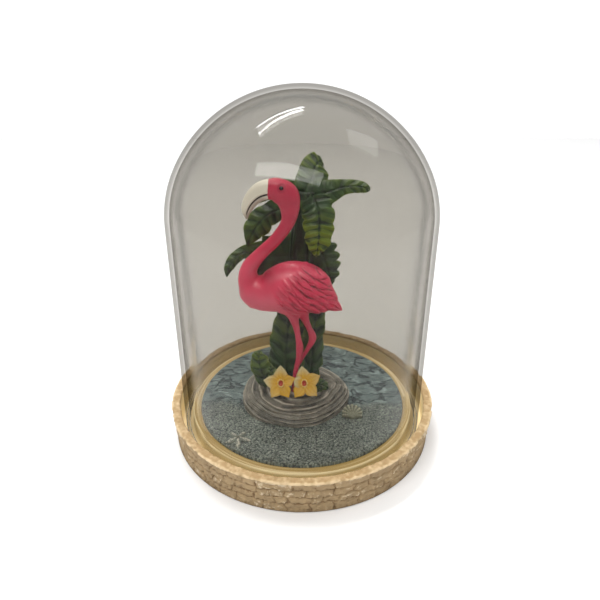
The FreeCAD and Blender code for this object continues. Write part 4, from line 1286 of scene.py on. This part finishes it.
class JAR_OT_bill(bpy.types.Operator):
    """Model and paint the bent bill"""

    bl_idname = "jar.bill"
    bl_label = "Bill"

    def execute(self, context):
        grid, turn, share = limb_grid(BILL, 170, 120)
        normal = grid_normals(grid)
        across = -np.sin(turn)
        line = -0.50 + 0.30 * share
        run = step(share, 0.16, 0.24) * (1 - step(share, 0.86, 0.93))
        mouth = np.exp(-(((across - line) / 0.13) ** 2)) * run
        bulge = 0.20 * np.exp(-(((across - line - 0.35) / 0.25) ** 2)) * run
        low_bulge = 0.16 * np.exp(-(((across - line + 0.35) / 0.25) ** 2)) * run
        push = -0.42 * mouth + bulge + low_bulge + 0.05 * layered(grid, 1.2, 3, 17)
        moved = grid + normal * push[..., None]
        lower = 1 - step(across, line - 0.06, line + 0.02)
        relief = 0.62 - 0.5 * mouth + 0.10 * layered(grid, 1.0, 3, 19)
        lower = lower * step(share, 0.2, 0.4)
        bill = closed_tube("bill_cast", moved, relief=relief, mouth=mouth, lower=lower, end=share)
        material, shade, shader = new_material(
            "bill_paint", Roughness=0.36, IOR=1.5, Coat_Weight=0.2, Coat_Roughness=0.2
        )
        paint = hand_painted(
            shade, colour(0.42, 0.36, 0.29), colour(0.86, 0.80, 0.68), colour(0.93, 0.89, 0.80), (0.3, 0.8), 0.4
        )
        jaw = shade.maths("MULTIPLY", shade.value("lower"), 0.7)
        low = shade.blend(jaw, paint["Color"], colour(0.40, 0.31, 0.27))
        end = shade.rise(shade.value("end"), 0.72, 1.0, 0.0, 0.75)
        tip = shade.blend(end, low, colour(0.34, 0.29, 0.24))
        black = shade.rise(shade.value("mouth"), 0.35, 0.75)
        shade.put(shader.inputs["Base Color"], shade.blend(black, tip, colour(0.010, 0.008, 0.007)))
        grained(shade, shader, colour(1, 1, 1), 0.0, 0.012)
        finish_piece(bill, BASE, material, ["bill"])
        return {"FINISHED"}


# ---------------------------------------------------------------- leaves
# Each leaf: its stations (x, y, up from the sea bed, half width), its facing, and its look. Lobes are how many and
# how deep.
LEAVES = {
    "crown_leaf_top": (
        [(2.0, 5.6, 83.0, 5.8), (2.6, 6.0, 88.6, 6.0), (3.8, 7.0, 92.6, 5.9), (4.8, 8.8, 95.8, 5.7),
         (5.8, 10.6, 97.4, 5.0), (6.8, 11.8, 98.0, 3.4), (7.4, 12.6, 98.2, 0.9)],
        (0, -1, 0.1), {"pleats": 7, "wave": 0.15, "warm": 0.6},
    ),
    "crown_leaf_right": (
        [(2.0, 4.6, 85.4, 5.6), (7.0, 4.2, 87.2, 5.3), (11.5, 4.0, 88.8, 4.1), (16.0, 3.8, 90.2, 2.8),
         (21.0, 3.4, 90.4, 2.3), (24.2, 3.0, 89.7, 1.5), (25.3, 2.9, 89.4, 0.4)],
        (0, -1, 0.25), {"pleats": 8, "wave": 0.3, "warm": 0.3},
    ),
    "crown_leaf_left": (
        [(0.0, 6.6, 87.0, 3.8), (-6.5, 7.0, 88.6, 3.6), (-12.0, 6.8, 87.0, 2.5), (-16.8, 6.4, 83.4, 0.3)],
        (0, -1, 0.3), {"pleats": 6, "wave": 0.3, "warm": 0.2},
    ),
    "upper_leaf_left": (
        [(-1.0, 6.2, 80.4, 5.2), (-7.4, 6.0, 81.2, 4.2), (-13.6, 5.4, 78.6, 4.5), (-18.2, 5.0, 73.4, 4.6),
         (-21.6, 4.6, 66.6, 0.3)],
        (-0.1, -1, 0.15), {"pleats": 7, "wave": 0.35, "warm": 0.25, "lobes": (4, 0.10)},
    ),
    "hooked_leaf_left": (
        [(-3.0, 6.4, 61.6, 9.6), (-10.2, 5.6, 61.8, 8.4), (-16.8, 5.2, 61.4, 8.2), (-22.4, 4.9, 63.8, 3.0),
         (-26.8, 4.7, 61.0, 2.4), (-29.2, 4.4, 57.6, 1.9), (-30.2, 4.2, 53.8, 0.3)],
        (0, -1, 0.15), {"pleats": 9, "wave": 0.3, "warm": 0.25},
    ),
    "drooping_leaf": (
        [(4.0, 2.6, 87.0, 5.2), (6.0, 0.2, 82.0, 5.9), (6.4, -1.2, 75.6, 5.5), (6.0, -1.4, 69.0, 4.2),
         (5.4, -0.6, 64.0, 0.3)],
        (0.1, -1, 0), {"pleats": 9, "fold": 1.4, "wave": 0.45, "warm": 1.0, "lobes": (5, 0.12)},
    ),
    "scalloped_leaf": (
        [(4.6, 3.6, 70.0, 5.0), (7.2, 3.4, 65.0, 5.9), (9.2, 3.6, 59.6, 5.6), (10.8, 3.8, 54.4, 4.0),
         (11.6, 4.0, 50.0, 0.3)],
        (0.1, -1, 0), {"pleats": 6, "wave": 0.3, "warm": 0.15, "lobes": (6, 0.26)},
    ),
    "tall_leaf_left": (
        [(-5.6, -0.4, 7.0, 5.0), (-6.6, -1.0, 15.0, 7.2), (-6.4, -1.0, 24.0, 7.4), (-5.6, -0.2, 33.0, 6.6),
         (-4.6, 0.6, 42.0, 4.6), (-4.0, 1.4, 47.6, 0.3)],
        (-0.2, -1, 0), {"pleats": 7, "fold": 2.2, "wave": 0.6, "warm": 0.35, "lobes": (6, 0.08)},
    ),
    "tall_leaf_right": (
        [(3.0, 0.0, 7.0, 3.6), (3.8, -0.6, 15.0, 4.8), (4.4, -0.4, 25.0, 4.8), (5.2, 0.4, 35.0, 4.4),
         (6.2, 1.2, 43.0, 3.2), (6.8, 2.0, 48.2, 0.3)],
        (0.25, -1, 0), {"pleats": 7, "fold": 2.2, "wave": 0.5, "warm": 0.35, "lobes": (6, 0.09)},
    ),
    "side_leaf_left": (
        [(-12.4, -4.6, 6.0, 3.0), (-15.6, -4.0, 11.0, 4.3), (-17.4, -3.4, 16.6, 4.5),
         (-17.8, -2.6, 21.2, 3.0), (-17.4, -2.2, 23.4, 0.4)],
        (-0.3, -1, 0.2), {"pleats": 6, "wave": 0.35, "warm": 0.5},
    ),
    "side_leaf_right": (
        [(3.4, -5.4, 6.6, 2.2), (6.4, -6.8, 9.2, 2.8), (9.0, -7.6, 9.6, 2.3), (11.0, -8.2, 8.4, 0.3)],
        (0.1, -1, 0.9), {"pleats": 5, "wave": 0.25, "warm": 0.2},
    ),
    "small_leaf_left": (
        [(-9.0, -5.8, 6.8, 1.8), (-11.0, -5.6, 11.0, 2.4), (-12.4, -5.0, 15.0, 2.0),
         (-13.0, -4.6, 17.8, 0.3)],
        (-0.1, -1, 0.2), {"pleats": 5, "wave": 0.25, "warm": 0.4},
    ),
    "back_leaf_upper": (
        [(1.6, 8.0, 86.0, 4.8), (1.2, 13.4, 86.4, 5.8), (0.6, 18.8, 82.4, 5.4), (0.2, 22.0, 76.0, 3.6),
         (0.0, 23.2, 70.8, 0.3)],
        (0, 1, 1), {"pleats": 7, "wave": 0.4, "warm": 0.3, "lobes": (5, 0.06)},
    ),
    "back_leaf_lower": (
        [(-3.0, 12.6, 6.8, 5.2), (-3.4, 13.2, 17.0, 7.4), (-3.0, 12.8, 28.0, 7.2), (-2.0, 12.2, 39.0, 5.4),
         (-1.2, 11.8, 46.6, 0.3)],
        (0, 1, 0), {"pleats": 7, "fold": 2.2, "wave": 0.6, "warm": 0.3, "lobes": (6, 0.08)},
    ),
    "back_leaf_middle": (
        [(0.0, 11.4, 44.0, 4.4), (0.8, 12.2, 52.0, 6.2), (1.4, 12.0, 61.0, 5.8), (1.8, 11.6, 69.0, 3.8),
         (2.0, 11.4, 74.6, 0.3)],
        (0, 1, 0), {"pleats": 8, "wave": 0.5, "warm": 0.25, "lobes": (6, 0.08)},
    ),
}
STEM = [
    (-2.6, 6.4, 6.8, 8.2, 6.2), (-2.6, 6.4, 22.0, 7.4, 5.6), (-1.2, 6.4, 42.0, 6.6, 5.2),
    (0.8, 6.4, 62.0, 6.0, 5.0), (1.8, 6.2, 78.0, 5.6, 4.8), (2.0, 6.0, 88.0, 4.2, 4.0),
]


def leaf_piece(label, stations, facing, thickness, seed, pleats, wave, warm, lobes=None, fold=1.0):
    """A closed leaf: a creased midrib, pleats running out to its edge, a wavy rim and, if asked, lobes."""
    rows, columns = 150, 57
    path = smooth_rows(stations, rows)
    centre = path[:, :3] + np.array([0, 0, SEA_LEVEL])
    along = unit(np.gradient(centre, axis=0))
    facing = unit(np.array(facing, dtype=float))
    side = unit(np.cross(along, facing))
    outward = unit(np.cross(side, along))
    share = np.linspace(0, 1, rows)[:, None]
    v = np.sin(np.linspace(-1, 1, columns) * math.pi / 2)[None, :]
    half = np.maximum(path[:, 3:4], 0.05)
    if lobes:
        number, depth = lobes
        saw = np.abs(np.sin(share * math.pi * number + 0.5 * v))
        half = half * (1 - depth + depth * 1.6 * saw**0.7)
    ruffle = layered(np.stack(np.broadcast_arrays(share * 16, v * 2.0), axis=-1), 1.6, 3, seed)
    half = half * (1 + 0.045 * ruffle)
    reach = np.abs(v)
    phase = share * pleats - 0.55 * reach + 0.22 * ruffle
    pleat = np.cos(2 * math.pi * phase)
    finer = np.cos(2 * math.pi * (phase * 3 + 0.2))
    rib = np.exp(-((v / 0.075) ** 2))
    grown = step(half, 0.1, 1.6)
    camber = -0.16 * half * v**2
    off_rib = 1 - np.exp(-((v / 0.25) ** 2))
    relief_height = grown * fold * (0.24 * pleat * off_rib + 0.07 * finer * reach - 0.30 * rib)
    rim_wave = grown * wave * np.sin(share * 21 + 2.2 * np.sign(v)) * reach**3
    lift = camber + relief_height + rim_wave + 0.10 * ruffle
    thin = thickness * (0.55 + 0.45 * np.sqrt(np.clip(1 - v**2, 0, 1))) * np.clip(half / 1.2, 0.25, 1)
    flat = centre[:, None, :] + side[:, None, :] * (half * v)[..., None]
    front = flat + outward[:, None, :] * (lift + thin / 2)[..., None]
    behind = flat + outward[:, None, :] * (lift - thin / 2)[..., None]
    vein = 0.50 + 0.13 * pleat + 0.05 * finer - 0.26 * rib + 0.12 * reach**3 + 0.30 * ruffle
    edge, end = np.broadcast_arrays(reach, share)
    return closed_tube(
        label + "_cast", wrapped(front, behind), relief=wrapped(vein, vein), rim=wrapped(edge, edge),
        end=wrapped(end, end), warm=np.full((rows, 2 * columns), warm),
    )


def leaf_material(rgb):
    """Green enamel: near black in the folds, yellow-green on the warm leaves' ends and rims."""
    material, shade, shader = new_material(
        "leaf_paint", Roughness=0.42, IOR=1.5, Coat_Weight=0.08, Coat_Roughness=0.3
    )
    paint = hand_painted(shade, shaded(rgb, 0.22), colour(*rgb), colour(0.080, 0.16, 0.036), (0.38, 0.70), 0.5)
    toned = grained(shade, shader, paint["Color"], 0.8, 0.02)
    glow = shade.maths("MULTIPLY", shade.value("warm"), shade.rise(shade.value("end"), 0.15, 0.65))
    rim = shade.maths("MULTIPLY", shade.rise(shade.value("rim"), 0.75, 1.0), 0.32)
    raised = shade.rise(shade.value("relief"), 0.3, 0.7)
    yellow = shade.maths("MULTIPLY", shade.maths("ADD", glow, rim), raised)
    warmed = shade.blend(shade.maths("MINIMUM", yellow, 0.9), toned, colour(0.17, 0.225, 0.010))
    shade.put(shader.inputs["Base Color"], warmed)
    return material


class JAR_OT_leaves(bpy.types.Operator):
    """Model and paint the leaves and the ribbed stem that they grow from"""

    bl_idname = "jar.leaves"
    bl_label = "Leaves and stem"

    def execute(self, context):
        given = context.scene.jar_leaf
        material = leaf_material(given.coat)
        for seed, (label, (stations, facing, look)) in enumerate(LEAVES.items()):
            leaf = leaf_piece(label, stations, facing, given.thickness / MM, 200 + seed, **look)
            finish_piece(leaf, BASE, material, [label])
        self.stem(material)
        return {"FINISHED"}

    def stem(self, material):
        """The core: an upright tube with deep crooked ribs."""
        rows, columns = 420, 220
        path = smooth_rows(STEM, rows)
        turn = ring_angles(columns)[None, :]
        share = np.linspace(0, 1, rows)[:, None]
        up = path[:, 2:3]
        round_place = np.stack(np.broadcast_arrays(6 * np.cos(turn), 6 * np.sin(turn), up * 0.35), axis=-1)
        crooked = 0.5 * layered(round_place, 5.0, 3, 301)
        ribs = np.cos(11 * (turn + crooked) + 1.5 * share)
        folds = layered(round_place, 1.6, 3, 305)
        swell = 0.95 + 0.055 * ribs + 0.03 * folds
        x = path[:, :1] + path[:, 3:4] * np.cos(turn) * swell
        y = path[:, 1:2] + path[:, 4:5] * np.sin(turn) * swell
        grid = np.stack(np.broadcast_arrays(x, y, up + SEA_LEVEL), axis=-1)
        relief = 0.30 + 0.22 * ribs + 0.2 * folds
        nothing = np.zeros(relief.shape)
        stem = closed_tube("stem_cast", grid, relief=relief, rim=nothing, end=nothing, warm=nothing)
        finish_piece(stem, BASE, material, ["stem"])


# ---------------------------------------------------------------- flowers
FLOWER_RIGHT = np.array([1.0, 0.0, 0.0])
FLOWER_FACING = unit(np.array([0.0, -0.82, 0.57]))
FLOWER_UP = unit(np.array([0.0, 0.57, 0.82]))
# Outlines are (share of the petal's length, half width as a share of its length).
POINTED_PETAL = [(0.06, 0.16), (0.28, 0.29), (0.52, 0.375), (0.72, 0.27), (0.88, 0.12), (1.0, 0.012)]
BLUNT_PETAL = [(0.06, 0.26), (0.3, 0.46), (0.6, 0.56), (0.85, 0.46), (0.97, 0.24), (1.0, 0.02)]
BLUNT_BELOW = 5.0
# The heart's section is (radius, how far forwards, ruffle) from its foot over the brim and down the throat.
HEART_SECTION = [
    (0.55, 0.15, 0.3), (1.25, 0.35, 0.5), (1.55, 1.0, 0.8), (1.45, 1.45, 1.0), (1.05, 1.35, 0.6),
    (0.6, 0.9, 0.1), (0.15, 0.8, 0.0),
]
# Each flower: the place of its heart, and (angle in degrees, length, paleness) of its petals from the front.
FLOWERS = {
    "left": (
        (-8.6, -10.6, 12.9),
        ((92, 7.2, 0.9), (170, 7.2, 0.9), (236, 6.8, 0.25), (300, 6.6, 0.0), (20, 6.2, 0.1)),
    ),
    "right": (
        (0.9, -10.8, 13.0),
        ((98, 7.0, 0.85), (26, 7.2, 0.35), (-44, 7.2, 0.3), (236, 6.8, 0.0), (168, 4.2, 0.9)),
    ),
}


class JAR_OT_flowers(bpy.types.Operator):
    """Model and paint the two flowers and their hearts"""

    bl_idname = "jar.flowers"
    bl_label = "Flowers"

    def execute(self, context):
        given = context.scene.jar_flower
        petal_paint = self.petal_material(given.petal)
        heart_paint = self.heart_material()
        for side, (place, petals) in FLOWERS.items():
            centre = np.array(place) + np.array([0, 0, SEA_LEVEL])
            blooms = [self.petal(f"{side}_petal_{n}", centre, n, *petal) for n, petal in enumerate(petals)]
            bloom = joined(side + "_petals", blooms)
            finish_piece(bloom, BASE, petal_paint, [side + "_flower_petals"])
            heart = self.heart(side + "_heart", centre)
            finish_piece(heart, BASE, heart_paint, [side + "_flower_heart"])
        return {"FINISHED"}

    def petal(self, name, centre, order, angle, length, pale):
        """One petal: narrow at the heart, widest past its middle, pointed, cupped forwards and veined."""
        turn = math.radians(angle)
        along = FLOWER_RIGHT * math.cos(turn) + FLOWER_UP * math.sin(turn)
        side = np.cross(along, FLOWER_FACING)
        rows, columns = 60, 37
        blunt = length < BLUNT_BELOW
        shape = smooth_rows(BLUNT_PETAL if blunt else POINTED_PETAL, rows)
        share, half = shape[:, :1], shape[:, 1:2] * length
        v = np.sin(np.linspace(-1, 1, columns) * math.pi / 2)[None, :]
        veins = np.cos(v * 3.5 * math.pi)
        grown = step(half, 0.05, 0.8)
        cup = 0.10 * length * share**1.4 + 0.18 * half * v**2 * (1 - share) - 0.05 * length * share**4
        midrib = np.exp(-((v / 0.10) ** 2))
        lift = cup + grown * (0.055 * veins - 0.16 * midrib) + 0.05 * order + 0.15
        if blunt:
            lift = lift + 0.9 * (1 - v**2) * share * (1 - 0.4 * share)
        wavy = 1 + 0.04 * np.sin(share * 17 + order)
        flat = centre + along * (share * length)[..., None] + side * (half * v * wavy)[..., None]
        thin = 0.42 * (0.5 + 0.5 * np.sqrt(np.clip(1 - v**2, 0, 1))) * np.clip(half / 0.5, 0.2, 1)
        front = flat + FLOWER_FACING * (lift + thin / 2)[..., None]
        behind = flat + FLOWER_FACING * (lift - thin)[..., None]
        relief = 0.55 + 0.28 * veins * grown - 0.35 * midrib
        reach = share + 0.22 * v**2
        return closed_tube(
            name, wrapped(front, behind), relief=wrapped(relief, relief), reach=wrapped(reach, reach),
            pale=np.full((rows, 2 * columns), pale),
        )

    def petal_material(self, yellow):
        """Golden near the heart, cream towards the pale petals' ends, with brown left in the veins."""
        material, shade, shader = new_material("petal_paint", Roughness=0.45, IOR=1.5)
        reach = shade.value("reach")
        whiten = shade.maths("MULTIPLY", shade.rise(reach, 0.30, 0.95), shade.value("pale"))
        edge = shade.maths("MULTIPLY", shade.rise(reach, 1.0, 1.25), 0.25)
        pale = shade.maths("ADD", whiten, edge, clamp=True)
        coat = shade.blend(pale, colour(*yellow), colour(0.66, 0.60, 0.33))
        wash = shade.blend(pale, colour(0.45, 0.20, 0.015), colour(0.42, 0.36, 0.16))
        paint = hand_painted(shade, wash, coat, colour(0.84, 0.68, 0.20), (0.30, 1.0), 0.35)
        shade.put(shader.inputs["Base Color"], paint["Color"])
        grained(shade, shader, colour(1, 1, 1), 0.0, 0.012)
        return material

    def heart(self, name, centre):
        """A flower's throat: a ruffled cup with a deep middle, standing forwards."""
        rows, columns = 40, 90
        shape = smooth_rows(HEART_SECTION, rows)
        turn = ring_angles(columns)[None, :]
        frill = np.cos(turn * 9)
        ruffle = 1 + 0.08 * frill * shape[:, 2:3]
        x = shape[:, :1] * np.cos(turn) * ruffle * 0.86
        z = shape[:, :1] * np.sin(turn) * ruffle * 1.1
        flat = centre + x[..., None] * FLOWER_RIGHT + z[..., None] * FLOWER_UP
        grid = flat + shape[:, None, 1:2] * FLOWER_FACING
        inner = step(np.linspace(0, 1, rows), 0.45, 0.7)
        throat = np.repeat(((1 - shape[:, 2]) * inner)[:, None], columns, axis=1)
        return closed_tube(name, grid, relief=np.repeat(0.5 + 0.3 * frill, rows, axis=0), throat=throat)

    def heart_material(self):
        """Pale gold outside and on the ruffle, red-orange down the throat."""
        material, shade, shader = new_material("heart_paint", IOR=1.5, Roughness=0.4)
        paint = hand_painted(
            shade, colour(0.62, 0.30, 0.03), colour(0.85, 0.62, 0.16), colour(0.92, 0.80, 0.42), (0.25, 0.65), 0.3
        )
        red = shade.rise(shade.value("throat"), 0.15, 0.55)
        shade.put(shader.inputs["Base Color"], shade.blend(red, paint["Color"], colour(0.46, 0.035, 0.008)))
        return material


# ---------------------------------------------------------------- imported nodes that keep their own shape
class JAR_OT_small_parts(bpy.types.Operator):
    """Finish the eyes, the felt, the dowels and the leg wires"""

    bl_idname = "jar.small_parts"
    bl_label = "Eyes, felt, dowels and wires"

    def execute(self, context):
        eye, shade, shader = new_material(
            "eye_black", Base_Color=colour(0.012, 0.010, 0.010), Roughness=0.08, IOR=1.5
        )
        shade.put(shader.inputs["Normal"], shade.bump(shade.noise(0.5, 2.0), 0.01))
        felt, shade, shader = new_material("felt_cloth", Roughness=0.95, Sheen_Weight=0.6, Sheen_Roughness=0.5)
        fibres = shade.noise(0.12, 5.0, (1.0, 0.3, 1.0))
        green = shade.blend(fibres, colour(0.02, 0.045, 0.03), colour(0.05, 0.09, 0.06))
        shade.put(shader.inputs["Base Color"], green)
        shade.put(shader.inputs["Normal"], shade.bump(fibres, 0.12))
        steel, shade, shader = new_material(
            "dowel_steel", Base_Color=colour(0.56, 0.55, 0.53), Metallic=1.0, Roughness=0.32
        )
        brushed = shade.noise(0.08, 3.0, (1.0, 1.0, 0.04))
        shade.put(shader.inputs["Roughness"], shade.rise(brushed, 0.3, 0.7, 0.24, 0.42))
        shade.put(shader.inputs["Normal"], shade.bump(brushed, 0.01))
        for node, material, slot in (
            ("eyes", eye, "eye_black"),
            ("felt_pad", felt, "felt"),
            ("figure_dowels", steel, "dowel_steel"),
            ("leg_wires", steel, "dowel_steel"),
        ):
            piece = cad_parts[node]
            piece.data.materials.clear()
            piece.data.materials.append(material)
        return {"FINISHED"}


# ---------------------------------------------------------------- stage
def aimed(source, place, target):
    """Puts a lamp in its place and turns it to the target."""
    source.location = place
    source.rotation_euler = (Vector(target) - Vector(place)).to_track_quat("-Z", "Y").to_euler()


class JAR_OT_stage(bpy.types.Operator):
    """Set the white floor, the soft lights and the camera"""

    bl_idname = "jar.stage"
    bl_label = "Stage, lights and camera"

    def execute(self, context):
        given = context.scene.jar_stage
        self.floor()
        self.lights()
        world = bpy.data.worlds.new("white_room")
        world.use_nodes = True
        self.sky(world.node_tree)
        context.scene.world = world
        context.scene.view_settings.view_transform = "Standard"
        camera = bpy.data.objects.new("camera", bpy.data.cameras.new("camera"))
        context.scene.collection.objects.link(camera)
        camera.location = (0, -given.distance, given.height)
        camera.rotation_euler = (math.pi / 2 - given.pitch, 0, 0)
        camera.data.lens = given.lens
        camera.data.sensor_width = 36
        camera.data.shift_x = -0.0033
        camera.data.shift_y = -0.011
        camera.data.clip_start = 0.01
        context.scene.camera = camera
        return {"FINISHED"}

    def sky(self, tree):
        """A white room to look at, whose light is stronger behind the object than in front of it."""
        shade = Shade(tree)
        parts = shade.node("ShaderNodeSeparateXYZ")
        shade.put(parts.inputs[0], shade.node("ShaderNodeTexCoord").outputs["Generated"])
        white = colour(1.0, 1.0, 1.0)
        path = shade.node("ShaderNodeLightPath").outputs
        seen = shade.maths("MAXIMUM", path["Is Camera Ray"], path["Is Transmission Ray"])
        lighting = shade.blend(shade.rise(parts.outputs["Y"], -0.35, 0.75), colour(0.30, 0.30, 0.30), white)
        background = tree.nodes["Background"]
        shade.put(background.inputs["Color"], shade.blend(seen, lighting, white))
        background.inputs["Strength"].default_value = 1.12

    def floor(self):
        mesh = bpy.data.meshes.new("floor")
        half = 0.72
        corners = [(-half, -half, 0), (half, -half, 0), (half, half, 0), (-half, half, 0)]
        mesh.from_pydata(corners, [], [(0, 1, 2, 3)])
        floor = bpy.data.objects.new("floor", mesh)
        bpy.context.scene.collection.objects.link(floor)
        white = new_material("floor_white", Base_Color=colour(0.95, 0.95, 0.95), Roughness=1.0)[0]
        mesh.materials.append(white)

    def lights(self):
        middle_of_dome = (0, 0, 0.07)
        # Each lamp: its name, its place and size in metres, and its power in watts.
        for name, place, size, power in (
            ("over_back", (-0.21, 0.41, 1.02), (0.52, 0.035), 2.2),
            ("over", (-0.22, 0.32, 1.05), (0.56, 0.045), 3.2),
            ("front", (-0.16, -0.50, 0.99), (0.90, 0.20), 7.0),
            ("side", (0.60, 0.18, 0.91), (0.26, 0.34), 1.0),
        ):
            lamp = bpy.data.lights.new(name, "AREA")
            lamp.shape = "RECTANGLE"
            lamp.size, lamp.size_y = size
            lamp.energy = power
            source = bpy.data.objects.new(name, lamp)
            bpy.context.scene.collection.objects.link(source)
            aimed(source, place, middle_of_dome)


# ---------------------------------------------------------------- add-on
PIECES = [
    JAR_OT_glass,
    JAR_OT_tray,
    JAR_OT_sea_bed,
    JAR_OT_rock,
    JAR_OT_sea_creatures,
    JAR_OT_bird_body,
    JAR_OT_wings,
    JAR_OT_legs,
    JAR_OT_bill,
    JAR_OT_leaves,
    JAR_OT_flowers,
    JAR_OT_small_parts,
    JAR_OT_stage,
]


class JAR_PT_panel(bpy.types.Panel):
    """Lists the pieces of the bell jar and the sizes and colours a user can change"""

    bl_label = "Bell Jar"
    bl_idname = "JAR_PT_panel"
    bl_space_type = "VIEW_3D"
    bl_region_type = "UI"
    bl_category = "Bell Jar"

    def draw(self, context):
        for piece in PIECES:
            self.layout.operator(piece.bl_idname)
        for name, kind in SETTINGS.items():
            box = self.layout.box()
            for field in kind.__annotations__:
                box.prop(getattr(context.scene, name), field)


def register():
    """Registers the classes and gives the scene its settings."""
    for kind in [*SETTINGS.values(), *PIECES, JAR_PT_panel]:
        bpy.utils.register_class(kind)
    for name, kind in SETTINGS.items():
        setattr(bpy.types.Scene, name, bpy.props.PointerProperty(type=kind))


def unregister():
    for name in SETTINGS:
        delattr(bpy.types.Scene, name)
    for kind in reversed([*SETTINGS.values(), *PIECES, JAR_PT_panel]):
        bpy.utils.unregister_class(kind)


def main():
    """Makes every piece in order."""
    register()
    for piece in PIECES:
        group, name = piece.bl_idname.split(".")
        getattr(getattr(bpy.ops, group), name)()
    bpy.context.view_layer.update()


if __name__ == "__main__":
    main()
